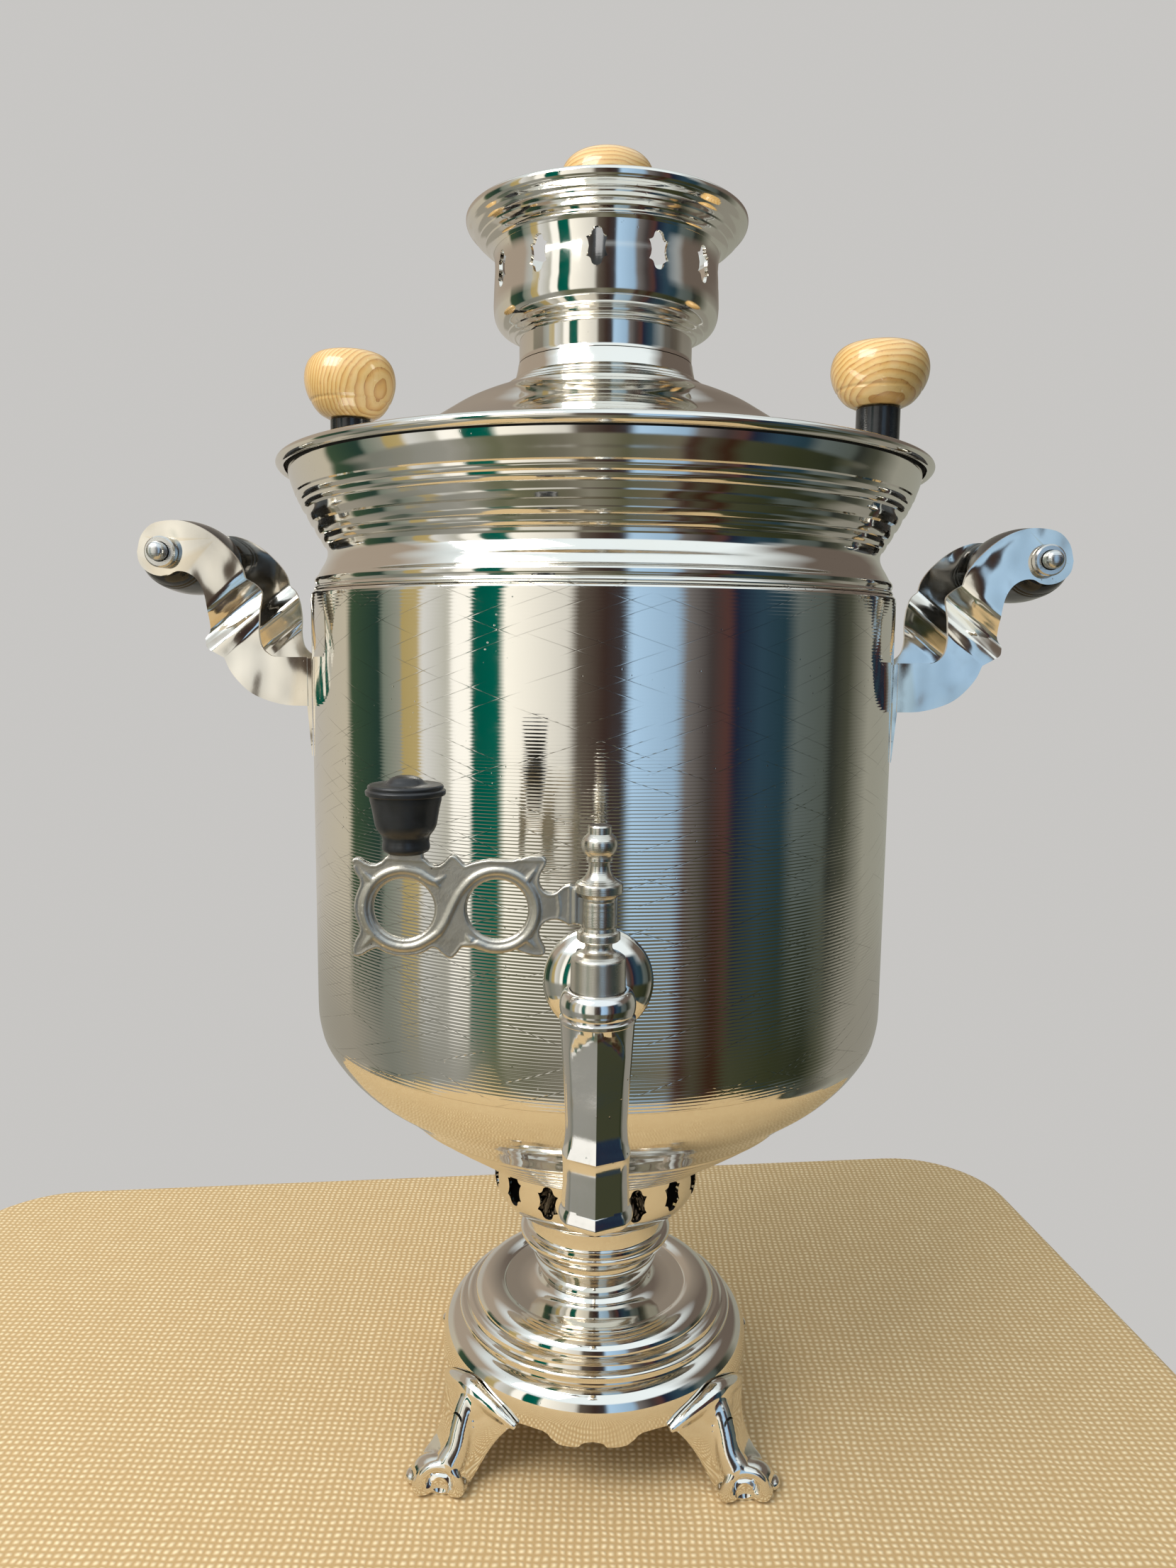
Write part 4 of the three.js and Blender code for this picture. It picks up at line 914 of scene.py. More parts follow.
# %% Top ring
outer = flowing(
    [(98.5, 304.6), (98.9, 305.3), (98.6, 306.0)],
    [(98.2, 306.3), (98.55, 307.3), (98.5, 308.5), (97.9, 309.3)],
    [(97.5, 309.7), (96.5, 311.6), (95.0, 314.2), (94.25, 316.4), (94.25, 317.8), (94.75, 319.3)],
    [(95.4, 319.7), (96.1, 320.9), (96.4, 322.1)],
    [(97.1, 322.5), (98.0, 324.0), (98.6, 326.0)],
    [(99.5, 326.5), (100.5, 328.4), (101.1, 330.4)],
    [(101.9, 330.9), (102.5, 331.9), (102.7, 332.9)],
    [(103.1, 333.2), (103.7, 334.4), (103.9, 335.4)],
    [(104.4, 335.8), (105.0, 337.6), (105.75, 339.7), (106.15, 341.1), (106.4, 342.3), (106.55, 343.4)],
    [(106.7, 344.9), (107.3, 345.0)],
    [(107.6, 344.1), (108.1, 343.7), (108.9, 343.62), (109.8, 344.3), (110.3, 345.4), (109.9, 346.4),
     (108.9, 346.98),
     (107.9, 346.7), (107.2, 345.9), (107.1, 345.2)],
    steps=5,
)
outer = held_in(outer, 110.28, 304.6, 346.98)
inner = [(106.0, 344.6), (105.4, 342.4), (103.7, 338.4), (102.5, 335.8), (99.6, 330.8), (97.2, 326.6),
         (94.4, 322.4),
         (93.2, 319.6), (93.0, 316.8), (93.8, 313.9), (96.2, 309.6), (97.3, 306.4), (97.3, 304.6)]
top_ring = dress(spun("top_ring", section(outer, inner), steps=180, smooth=30), polished,
                 "reservoir_top_ring")
# A thin band of faces under the rolled rim gets the near-black material: a painted shadow line in the gap
# between the roll and the flare.
darken(top_ring, soot_and_shade_black, 106.5, 107.55, 345.6, lowest=343.5, inward=False)

# %% [markdown]
# The lid drops into the flare. From its beaded brim it rises slowly, then in a curve, to three fine
# steps round the upstand through which the fire tube comes. It is turned a little, so that its right
# knob stands nearer to the front.

# %% Lid
LID_TURN = -8.4
outer = flowing(
    [(104.3, 341.2), (104.3, 343.4), (104.3, 345.4)],
    [(104.3, 345.4), (104.1, 346.7), (103.2, 347.4), (102.2, 347.4), (101.5, 346.8)],
    [(101.1, 346.7), (100.6, 347.5), (99.6, 348.0), (98.2, 348.1)],
    [(97.8, 348.0), (92, 348.9), (86, 350.3), (82.2, 351.7)],
    [(81.7, 352.3), (75, 354.2), (68, 356.9), (62, 360.0), (56, 363.8), (50, 367.5), (45, 369.9),
     (41, 371.5),
     (37.4, 372.5)],
    [(36.9, 372.9), (36.3, 373.6), (34.9, 373.8)],
    [(34.5, 374.3), (33.9, 375.1), (32.4, 375.3)],
    [(32.1, 375.8), (31.5, 376.7), (30.9, 377.2)],
    [(30.8, 377.6), (30.2, 380.0), (29.82, 382.2)],
    steps=5,
)
inner = [(28.6, 382.2), (28.9, 379), (30.4, 375.2), (33, 373.2), (36.6, 371.4), (40.8, 370.2),
         (44.6, 368.6), (49.5, 366.2),
         (55.3, 362.6), (61.3, 358.9), (67.5, 355.7), (74.6, 353.0), (81.6, 350.7), (86, 349.1),
         (91.8, 347.7),
         (97.5, 346.8), (101, 345.6), (103.1, 345.2), (103.1, 341.2)]
lid = spun("domed_lid", section(outer, inner), steps=180, smooth=30)
holes = []
for name, place, radius in (("left", (-92, 0), 2.6), ("right", (92, 0), 2.6), ("vent", (0, 68), 4.6)):
    centre = BOILER + Vector((*place, 0))
    hole = spun("hole_" + name, rod(radius, 335, 390), axis=centre, steps=32)
    holes.append(turned_round(hole, LID_TURN))
cut(lid, joined("holes", holes))
dress(tidy(lid, 30), polished, "lid")

# %% [markdown]
# The crown is a second pierced cup on a straight neck. It widens at the top in two fine ledges to a
# broad rolled rim, on which the teapot stands. Its openings are those of the collar, twelve of them.

# %% Crown
outer = flowing(
    [(29.7, 382.5), (29.5, 383.2)],
    [(29.5, 383.2), (29.5, 387), (29.5, 390.4)],
    [(29.8, 390.9), (30.6, 391.4), (31.2, 391.4)],
    [(31.5, 391.8), (32.4, 392.3), (33.2, 392.5)],
    [(33.5, 392.9), (35.4, 393.7), (37.0, 395.4), (37.9, 397.6), (38.25, 400.6), (38.2, 404), (38.0, 409),
     (37.8, 413), (37.9, 416), (38.2, 418)],
    [(38.3, 418.0), (38.9, 419.4), (40.1, 420.3), (40.9, 420.6)],
    [(41.1, 421.1), (42.0, 421.7), (42.9, 422.2)],
    [(43.1, 422.7), (44.4, 423.6), (45.5, 425.0)],
    [(46.1, 425.5), (47.0, 426.6), (47.48, 428.0), (47.3, 429.3), (46.6, 429.78), (45.9, 429.7)],
    steps=5,
)
inner = [(45.2, 428.9), (44.2, 425.7), (42.0, 423.4), (39.8, 421.8), (37.9, 420.6), (36.9, 418.6),
         (36.6, 416.2),
         (36.6, 412.6), (36.8, 408.9), (37.0, 404), (37.0, 400.8), (36.7, 398), (36.0, 396.2),
         (34.8, 394.9), (32.8, 394),
         (30.6, 393), (29, 391.8), (28.3, 390.4), (28.3, 382.5)]
crown = spun("pierced_crown", section(outer, inner), smooth=30)
vents(crown, 12, -4.6, 409.8, 38.2, 3.4, 5.8)
dress(tidy(crown, 30), polished, "crown")

# %% [markdown]
# The pedestal is one spinning with a deep skirt, two thin rings, a heavy round one, a hollow, and a
# drum under a sharp lip. The lower edge of its skirt is cut in four lobed scallops between the feet.

# %% Pedestal
outer = flowing(
    [(57, 12), (57, 22), (57, 32), (56.4, 35.2), (54.9, 37.8), (52.8, 39.5), (51, 40.2)],
    [(50.3, 40.6), (50.2, 41.3)],
    [(50.9, 41.9), (50.8, 43.0), (49.9, 43.7), (49.0, 43.9)],
    [(48.4, 44.0), (48.2, 44.6)],
    [(48.0, 45.6), (46.8, 46.3), (45.6, 46.5)],
    [(45.0, 46.7), (44.9, 47.3)],
    [(44.6, 48.4), (44, 49.2), (41.8, 50.8), (39, 51.5), (36.2, 51.3), (34, 50.4)],
    [(33.6, 49.9), (31, 49.6), (27.5, 49.3), (24, 49.6), (21.4, 50.8), (20.1, 52.4)],
    [(20.1, 52.6), (21.2, 55.5), (22.6, 59), (23.4, 62.5), (23.5, 65)],
    [(24.2, 65.6), (25.4, 66.6), (26.9, 68.0), (28, 69.9)],
    [(28, 70.2), (28, 71), (27, 72), (25.6, 72.6), (25, 73.2)],
    [(24.9, 73.6), (24.8, 76), (24.9, 79)],
    [(25.2, 79.4), (26.2, 80.8), (28.4, 81.9)],
    steps=5,
)
outer = held_in(outer, 57, 12)
inner = [(27.2, 82.0), (25.2, 81.8), (24.0, 80.3), (23.6, 79), (23.5, 74), (23.8, 70.5), (22.4, 67),
         (22.2, 63),
         (21.4, 59.4), (20.0, 56), (18.7, 52.4), (19.8, 50.2), (22.6, 48.6), (27.5, 48.0), (34, 48.6),
         (39, 49.9),
         (41.6, 49.2), (43.2, 47.6), (43.6, 46.0), (46.0, 45.0), (47.0, 43.6), (49.2, 42.2), (48.9, 40.2),
         (52.0, 38.4), (54.0, 36.8), (55.3, 34.8), (55.8, 31.8), (55.8, 12)]
pedestal = spun("footed_pedestal", section(outer, inner), smooth=30)
SCALLOP_HALF, SCALLOP_RISE, SCALLOP_LOBE = 35, 4.4, 22.2
shares = [(0, 0.52), (0.08, 0.4), (0.2, 0), (0.28, 0.02), (0.37, 0.3), (0.6, 1), (0.7, 0.98), (0.8, 0.75),
          (0.94, -0.5),
          (1, -2.4), (1, -3)]
half = [Vector((x * SCALLOP_HALF, SCALLOP_LOBE + z * SCALLOP_RISE)) for x, z in flowing(shares, steps=4)]
arch = half + [Vector((SCALLOP_HALF, 0)), Vector((-SCALLOP_HALF, 0))] + [Vector((-p.x, p.y))
                                                                         for p in reversed(half[1:])]
for name, angle in (("front", 0), ("side", 90)):
    scallop = plate("scallop_" + name, arch + [arch[0]], 160, Vector((0, BOILER.y - 80, 0)))
    cut(pedestal, turned_round(scallop, angle))
dress(tidy(pedestal, 30), polished, "pedestal")

# %% [markdown]
# ## Knobs, stems and the flue cap
#
# The wooden knobs are squashed balls, turned and lacquered. Each sits on a short black stem and is
# drawn down by a screw from below, so it has a blind bore.

# %% Wooden knobs
KNOB_STROKES = [[(0.17, 0), (0.5, 0)],
                [(0.52, 0.005), (0.68, 0.07), (0.83, 0.2), (0.95, 0.37), (1, 0.54), (0.99, 0.67),
                 (0.92, 0.82),
                 (0.79, 0.925), (0.6, 0.98), (0.3, 0.997), (0, 1)]]


def knob(name, node, material):
    low, high = corners(node)
    radius, height = (high.x - low.x) / 2, high.z - low.z
    line = [Vector((p.x * radius, low.z + p.y * height)) for p in flowing(*KNOB_STROKES, steps=4)]
    line = beaded(line, [low.z + 0.24 * height], -0.2, 0.9, by=1)
    bore = 9.3
    ball = spun(name, [*line, Vector((0, low.z + bore)), Vector((0.17 * radius, low.z + bore)), line[0]],
                axis=Vector(((low.x + high.x) / 2, (low.y + high.y) / 2, 0)), steps=64)
    return dress(ball, material, node)


right, left, top = middle("lid_knob_right"), middle("lid_knob_left"), middle("flue_cap_knob")
knob("wooden_knob_right", "lid_knob_right", wood("pale_wood_right", right + Vector((-17, -9, 0)),
                                                 (1.1, 0.3, 0.5)))
knob("wooden_knob_left", "lid_knob_left", wood("pale_wood_left", left + Vector((4, 14, -30)),
                                               (0.2, 0.25, 0.0), 1.5))
knob("wooden_knob_top", "flue_cap_knob", wood("pale_wood_top", top + Vector((0, 24, -6)), (1.4, 0.1, 0.2),
                                              1.7))

# %% [markdown]
# What stands on the lid follows its slope, so the feet of the stems and of the steam vent's bush are
# cut by a body that fills the lid.

# %% Stems on the lid and the steam vent
lid_face = [(104.3, 345.7), (101, 347.2), (97.8, 348.3), (92, 349.2), (86, 350.6), (82, 352.2),
            (75, 354.5), (68, 357.2),
            (62, 360.3), (56, 364.1)]


def on_lid(piece):
    """Trims the piece so that it stands a gap above the lid's face."""
    fill = [(0, 335), (104.3, 335), *lid_face, (0, 364.1)]
    return tidy(cut(piece, spun("lid_fill", fill, steps=96)), 30)


for side in ("right", "left"):
    node = "lid_stem_" + side
    centre, stem_top = middle(node), heights(node)[1]
    line = [(2.6, 346), (7.2, 346), (7.2, stem_top - 0.5), (6.9, stem_top), (2.6, stem_top), (2.6, 346)]
    stem = spun("black_stem_" + side, line, axis=Vector((centre.x, centre.y, 0)), steps=48)
    dress(on_lid(stem), gloss_black, node)

centre = Vector((*middle("steam_vent_bush").xy, 0))
bush_low, bush_top = heights("steam_vent_bush")
line = [(2.7, bush_low), (4.2, bush_low), (4.2, 354), (6.3, 354), (6.5, 354.3), (6.5, bush_top - 0.5),
        (6.1, bush_top),
        (2.7, bush_top), (2.7, bush_low)]
bush = spun("vent_bush", line, axis=centre, steps=40)
flange_floor = spun("flange_floor", [(4.25, 345), (8, 345), (8, 356.4), (4.25, 358.2), (4.25, 345)],
                    axis=centre, steps=40)
dress(tidy(cut(bush, flange_floor), 30), plug_metal, "steam_vent_bush")
cap_low, cap_top = heights("steam_vent_cap")
seat = bush_top + 0.3
line = flowing([(0, cap_low), (2.2, cap_low), (2.4, cap_low + 0.3)],
               [(2.4, seat), (5.7, seat), (5.9, seat + 0.4)],
               [(5.9, seat + 1.4), (5.6, seat + 1.8)], [(3.2, seat + 3.2), (2.0, seat + 3.9),
                                                        (1.8, seat + 4.6)],
               [(2.2, seat + 5.0), (3.4, seat + 5.8), (3.75, seat + 6.8), (3.5, seat + 7.9),
                (2.5, seat + 8.7),
                (0, cap_top)], steps=3)
dress(spun("vent_plug", line, axis=centre, steps=40), plug_metal, "steam_vent_cap")

# %% [markdown]
# The flue cap shuts the fire tube inside the crown. A skirt under its disc centres it.

# %% Flue cap and its stem
cap = flowing([(24.7, 0), (25.8, 0)], [(25.8, 6.9), (30.4, 6.9), (31, 7.4), (30.8, 8.1), (29.9, 8.3)],
              [(29.2, 8.2), (26, 8.8), (20, 10.1), (14, 11.7), (9.6, 12.8), (8.4, 13.05), (2.6, 13.05)],
              steps=4)
cap += [Vector(p) for p in [(2.6, 11.9), (7.2, 11.9), (14, 10.4), (24.6, 7.6), (24.7, 0)]]
cap_floor = Vector((0, heights("flue_cap")[0]))
dress(spun("flue_cap_disc", [p + cap_floor for p in cap], steps=96), polished, "flue_cap")
stem_low, stem_top = heights("flue_cap_stem")
line = [(2.6, stem_low), (6.9, stem_low), (7.2, stem_low + 0.4), (7.2, stem_top - 0.4), (6.9, stem_top),
        (2.6, stem_top),
        (2.6, stem_low)]
dress(spun("black_stem_top", line, steps=48), gloss_black, "flue_cap_stem")

# %% [markdown]
# ## Handles
#
# Each handle is a black turned grip on a steel pin between two ears. The ear is a curved blade of
# sheet with a groove pressed across it for stiffness, and its foot is bent round to lie on the wall.
# Four of them are made as one, which is then mirrored.


# %% Grips, pins and nuts
grip_line = flowing(
    [(0.26, -1), (0.6, -1)], [(0.64, -0.985), (0.74, -0.92), (0.86, -0.76), (0.96, -0.42), (1, 0),
                              (0.96, 0.42),
                              (0.86, 0.76), (0.74, 0.92), (0.64, 0.985)], [(0.6, 1), (0.26, 1)],
                              [(0.26, -1)], steps=5)
for side in ("left", "right"):
    grip = middle("grip_" + side)
    low, high = corners("grip_" + side)
    half, radius = (high.y - low.y) / 2, (high.z - low.z) / 2
    line = [Vector((p.x * radius, p.y * half)) for p in grip_line]
    line = beaded(line, [-0.78 * half, -0.7 * half, 0.7 * half, 0.78 * half], -0.25, 0.9, by=1)
    dress(across("turned_grip_" + side, line, grip, steps=72), gloss_black, "grip_" + side)
    low, high = corners("grip_pin_" + side)
    half = (high.y - low.y) / 2
    ends = flowing([(0, -half), (1.2, -half + 0.1), (2.1, -half + 0.4), (2.75, -half + 1),
                    (3, -half + 1.8)],
                   [(3, half - 1.8), (2.75, half - 1), (2.1, half - 0.4), (1.2, half - 0.1), (0, half)],
                   steps=3)
    dress(across("steel_pin_" + side, ends, middle("grip_pin_" + side)), steel, "grip_pin_" + side)
    for end in ("front", "rear"):
        node = f"grip_nut_{side}_{end}"
        nut = [(3.3, -1.6), (4.7, -1.6), (5.1, -1.2), (5.1, 1.0), (4.6, 1.55), (3.3, 1.6), (3.3, -1.6)]
        dress(across(f"pin_nut_{side}_{end}", nut, middle(node)), steel, node)

# %% [markdown]
# The ear's outline is written in shares of its reach from the wall. Straight cuts on both sides of the
# groove give its slopes their points, and a rule then presses them back. The foot is a leaf cut out of
# a skin that lies on the wall. All edges get a small round.

# %% Ear
EAR_Y = BOILER.y - 27.5
EYE = Vector((-144.5, EAR_Y, 316.6))
EAR_SHEET, EAR_REACH = 1.6, 44.5
GROOVE_DEEP, GROOVE_ANGLE = 4.0, 38.5
blade_shares = [
    [(1.191, 0), (1.157, 0.12), (1.083, 0.2), (0.969, 0.23), (0.843, 0.228), (0.728, 0.19), (0.629, 0.13),
     (0.544, 0.057), (0.47, -0.022), (0.42, -0.107), (0.402, -0.18)],
    [(0.402, -0.18), (0.34, -0.225), (0.308, -0.27), (0.299, -0.33)],
    [(0.299, -0.33), (0.302, -0.47), (0.305, -0.606), (0.283, -0.69), (0.22, -0.748), (0.117, -0.757),
     (-0.05, -0.757)],
    [(-0.05, -1.12), (0.112, -1.115), (0.243, -1.085), (0.369, -1.03), (0.47, -0.94), (0.533, -0.855),
     (0.569, -0.77)],
    [(0.569, -0.77), (0.656, -0.722), (0.712, -0.69), (0.735, -0.63)],
    [(0.735, -0.63), (0.7, -0.578), (0.687, -0.5), (0.687, -0.434), (0.697, -0.344), (0.719, -0.257),
     (0.766, -0.184), (0.843, -0.14), (0.906, -0.137), (0.971, -0.168), (1.047, -0.17), (1.124, -0.139),
     (1.177, -0.08), (1.191, 0)],
]
outline = [Vector((-WALL_RADIUS - EAR_REACH * x, EYE.z + EAR_REACH * z))
           for x, z in flowing(*blade_shares, steps=3)]
blade = plate("blade", outline + [outline[0]], EAR_SHEET, Vector((0, EAR_Y, 0)))
slope = Vector((sin(radians(GROOVE_ANGLE)), 0, -cos(radians(GROOVE_ANGLE))))
groove = Vector((-WALL_RADIUS - EAR_REACH * (1 - 0.503), EAR_Y, EYE.z - EAR_REACH * 0.425))
for place in (-7.5, -6.6, -5.7, -4.8, -1.6, -0.8, 0, 0.8, 1.6, 4.8, 5.7, 6.6, 7.5):
    edit(blade)
    bpy.ops.mesh.select_all(action="SELECT")
    bpy.ops.mesh.bisect(plane_co=(groove + slope * place) * MM, plane_no=slope)
    leave()
PRESSED = flowing([(0, 1), (0.8, 0.92), (1.6, 0.76), (4.8, 0.16), (5.7, 0.05), (6.6, 0.01), (7.5, 0),
                   (99, 0)], steps=2)


def pressed(distance):
    """How deep the groove is at a distance from its middle, as a share of its full depth."""
    for a, b in zip(PRESSED, PRESSED[1:]):
        if distance <= b.x:
            return a.y + (b.y - a.y) * (distance - a.x) / (b.x - a.x)
    return 0.0


for vertex in blade.data.vertices:
    distance = abs((vertex.co / MM - groove).dot(slope))
    vertex.co.y += GROOVE_DEEP * pressed(distance) * MM
cut(blade, spun("trim", rod(SEAM_RADIUS, 230, 340), steps=180))
leaf_shares = [(0, 1.0), (0.5, 0.985), (0.85, 0.93), (1, 0.72), (0.8, 0.45), (0.42, 0.24), (0.1, 0.06),
               (0, 0)]
leaf_line = [Vector((x * 14, 250 + z * 32.5)) for x, z in flowing(leaf_shares, steps=5)]
leaf_line = held_in(leaf_line, 99, 250, 282.5)
leaf = plate("leaf", leaf_line + [leaf_line[0]], 50)
leaf.data.transform(Matrix.Translation(Vector((-65, EAR_Y, 0)) * MM) @ Matrix.Rotation(pi / 2, 4, "Z"))
skin_line = [(SEAM_RADIUS, 230), (100.45, 230), (100.55, 250), (101.9, 268), (101.9, 340),
             (SEAM_RADIUS, 340), (SEAM_RADIUS, 230)]
skin = spun("skin", skin_line, steps=180)
cut(leaf, skin, "INTERSECT")
cut(blade, leaf, "UNION")
cut(blade, across("eye", rod(3.3, -20, 20), EYE))
tidy(blade, 30, merge=0.02)
apply(blade, "BEVEL", width=0.6 * MM, segments=3, limit_method="ANGLE", angle_limit=radians(50))
tidy(blade, 34, merge=0.01)
low = min(v.co.x for v in blade.data.vertices) / MM
print("ear reaches x =", round(low, 2), "and has", len(blade.data.polygons), "faces")


def mirrored(piece, name, x, y):
    """A mirrored copy: left to right where x is -1, front to rear where y is -1."""
    copy = twin(piece, name)
    centre = Matrix.Translation(BOILER * MM)
    copy.data.transform(centre @ Matrix.Diagonal((x, y, 1, 1)) @ centre.inverted())
    return tidy(copy, 34)


for side, x in (("right", -1), ("left", 1)):
    for end, y in (("rear", -1), ("front", 1)):
        dress(mirrored(blade, f"ear_{side}_{end}", x, y), ear_metal, f"handle_ear_{side}_{end}")
bpy.data.objects.remove(blade)

# %% [markdown]
# ## Tap
#
# The tap is cast and ground by hand. A turned plug goes down through its head, and behind it a short
# shank runs through a polished rosette into the wall.

# %% Rosette
rosette = flowing([(6.3, -7), (15.3, -7)], [(15.3, 0.6), (15.0, 1.5), (13.9, 3.1), (11.8, 4.9), (9.4, 6.2),
                                            (7.2, 6.85),
                                            (6.3, 6.95)], [(6.3, -7)], steps=5)
rosette = across("polished_rosette", held_in(rosette, 15.3, -7, 6.98), ROSETTE, steps=96)
cut(rosette, spun("trim", rod(SEAM_RADIUS, 170, 220), steps=180))
dress(tidy(rosette, 30), polished, "tap_rosette")

# %% [markdown]
# The plug is one turning: cylinder, waist, collar, barrel, collar, waist and ball. Its barrel keeps
# fine tool lines, and the key's tang passes through it.

# %% Plug
plug = flowing(
    [(0, 186.5), (4.3, 186.5)], [(4.3, 186.6), (6.2, 205), (6.2, 218.1)],
    [(6.0, 218.5), (5.0, 219.2), (3.7, 219.8), (3.15, 220.5), (3.1, 221.3), (3.35, 222.1)],
    [(4.6, 222.3), (4.9, 222.6)], [(4.9, 223.9), (4.7, 224.3)], [(4.0, 224.6), (4.0, 232.2)],
    [(4.6, 232.9), (5.35, 233.4)], [(5.35, 235.0), (5.15, 235.4)],
    [(4.6, 235.7), (3.5, 236.5), (2.75, 237.7), (2.4, 239.3), (2.55, 240.3)],
    [(2.95, 240.5), (2.95, 241.1)],
    [(2.75, 241.3), (3.6, 242.3), (4.05, 243.9), (3.8, 245.3), (2.9, 246.3)],
    [(2.65, 246.5), (2.65, 248.0)],
    [(2.4, 248.38), (0, 248.38)], steps=5)
plug = beaded(held_in(plug, 99), [225.4, 229.2, 230.1, 231.4], -0.12, 0.5, by=1)
plug = spun("turned_plug", plug, axis=PLUG, steps=72)
TAP_HEAD = PLUG + Vector((0, 0, TAP_Z))
bore = spun("bore", rod(2.5, 180, 198.5), axis=PLUG, steps=32)
port = across("port", rod(2.5, 0, 12), TAP_HEAD, steps=32, around="Y")
cut(plug, joined("ways", [bore, port]))
KEY_Z, RING_Z = 228.95, 229
cut(plug, block(PLUG + Vector((0, 0, KEY_Z)), (14, 3.8, 7)))
dress(tidy(plug, 30), plug_metal, "tap_plug")

# %% [markdown]
# The body of the tap starts as a turned shape. Then it is filed: two broad faces meet in a ridge at
# the front, the flanks stay round, and under a sharp shoulder the faces are hollow down to the mouth.
# The filing is a rule that moves every point of the turned shape in or out.

# %% Tap body
FACE_EDGE = radians(50)
# Height, half width, reach of the corner and reach of the front ridge, from the mouth up.
STATIONS = [
    [(156.0, 8.0, 7.8, 8.0), (156.5, 8.4, 8.25, 8.5), (157.4, 8.66, 8.62, 8.9)],
    [(157.6, 8.66, 8.62, 8.9), (158.6, 8.45, 8.4, 8.65), (159.7, 7.95, 7.85, 8.1)],
    [(159.9, 7.85, 7.75, 7.95), (163.4, 7.7, 7.55, 7.7), (167, 7.6, 7.5, 7.65), (170.8, 7.75, 7.6, 7.75),
     (172.2, 7.85, 7.9, 8.1), (173.0, 7.95, 8.5, 8.75)],
    [(173.5, 7.9, 8.3, 8.5), (175, 7.5, 7.6, 7.85), (178, 7.2, 7.0, 7.25), (183, 7.3, 7.0, 7.2),
     (190, 7.65, 7.45, 7.7), (197, 8.1, 8.05, 8.3), (203.6, 8.5, 8.5, 8.7)],
    [(203.8, 8.66, 8.66, 8.75), (204.6, 8.66, 8.66, 8.66)],
    [(205.0, 8.05, 8.05, 8.05), (205.8, 8.45, 8.45, 8.45), (207.4, 8.68, 8.68, 8.68),
     (209.0, 8.5, 8.5, 8.5),
     (210.2, 7.95, 7.95, 7.95), (210.9, 7.1, 7.1, 7.1), (211.0, 6.5, 6.5, 6.5)],
]
table_of_filing = flowing(*STATIONS, steps=5)


def filed(height, angle):
    """How far the filed surface stands from the plug's axis, at an angle from straight ahead."""
    for low, high in zip(table_of_filing, table_of_filing[1:]):
        if low[0] <= height <= high[0]:
            share = (height - low[0]) / max(high[0] - low[0], 1e-6)
            _, half, corner, ridge = low.lerp(high, share)
            break
    else:
        half = corner = ridge = table_of_filing[-1 if height > TAP_Z else 0][1]
    angle = abs(angle)
    if angle > FACE_EDGE:
        share = min((angle - FACE_EDGE) / (pi / 2 - FACE_EDGE), 1)
        return corner + (half - corner) * (1 - (1 - share) ** 2)
    face = ridge * corner * sin(FACE_EDGE) / (ridge * sin(angle) + corner * sin(FACE_EDGE - angle))
    start = 203.6 - 5.6 * (angle / FACE_EDGE) ** 2.5
    share = min(max((start - height) / 1.8, 0), 1)
    return half + (face - half) * share * share * (3 - 2 * share)


MOUTH_Z, HEAD_Z = table_of_filing[0][0], table_of_filing[-1][0]
tap_line = [Vector((p[1], p[0])) for p in table_of_filing]
tap = spun("filed_tap", [Vector((0, MOUTH_Z)), *tap_line, Vector((0, HEAD_Z))], axis=PLUG)
for vertex in tap.data.vertices:
    spot = vertex.co / MM - PLUG
    reach = math.hypot(spot.x, spot.y)
    if reach < 0.1 or not MOUTH_Z - 0.1 < spot.z < 204.7:
        continue
    new = filed(spot.z, math.atan2(spot.x, -spot.y))
    vertex.co.x += spot.x * (new / reach - 1) * MM
    vertex.co.y += spot.y * (new / reach - 1) * MM
cut(tap, across("shank", rod(6, 0, -66.9), TAP_HEAD), "UNION")
seat = spun("seat", [(0, 140), (4.6, 140), (4.6, 186.1), (6.5, 204.9), (6.5, 215), (0, 215)], axis=PLUG,
            steps=72)
cut(tap, seat)
cut(tap, across("inlet", rod(3.4, -3, -80), TAP_HEAD, steps=40))
dress(tidy(tap, 24), tap_metal, "tap_body")

# %% [markdown]
# The key is a flat casting. A plate with two holes carries a raised ribbon, which runs round the first
# ring, crosses over in a long curve and runs round the second one. The outline has eight horns. Plate
# and ribbons are first separate bodies, and a fine voxel remesh melts them together as casting does.


# %% Key
def wire(name, points, width, steps=4):
    """A round wire through some points, of even width or of a width for each point, as a mesh."""
    curve = bpy.data.curves.new(name, "CURVE")
    curve.dimensions = "3D"
    curve.bevel_depth = MM / 2
    curve.bevel_resolution = 3
    curve.use_fill_caps = True
    line = curve.splines.new("POLY")
    widths = width if isinstance(width, list) else [width] * len(points)
    path = flowing([(*point, wide) for point, wide in zip(points, widths)], steps=steps)
    line.points.add(len(path) - 1)
    for target, (x, y, z, wide) in zip(line.points, path):
        target.co = (x * MM, y * MM, z * MM, 1)
        target.radius = wide
    piece = bpy.data.objects.new(name, curve)
    bpy.context.scene.collection.objects.link(piece)
    only(piece)
    bpy.ops.object.convert(target="MESH")
    return bpy.context.object


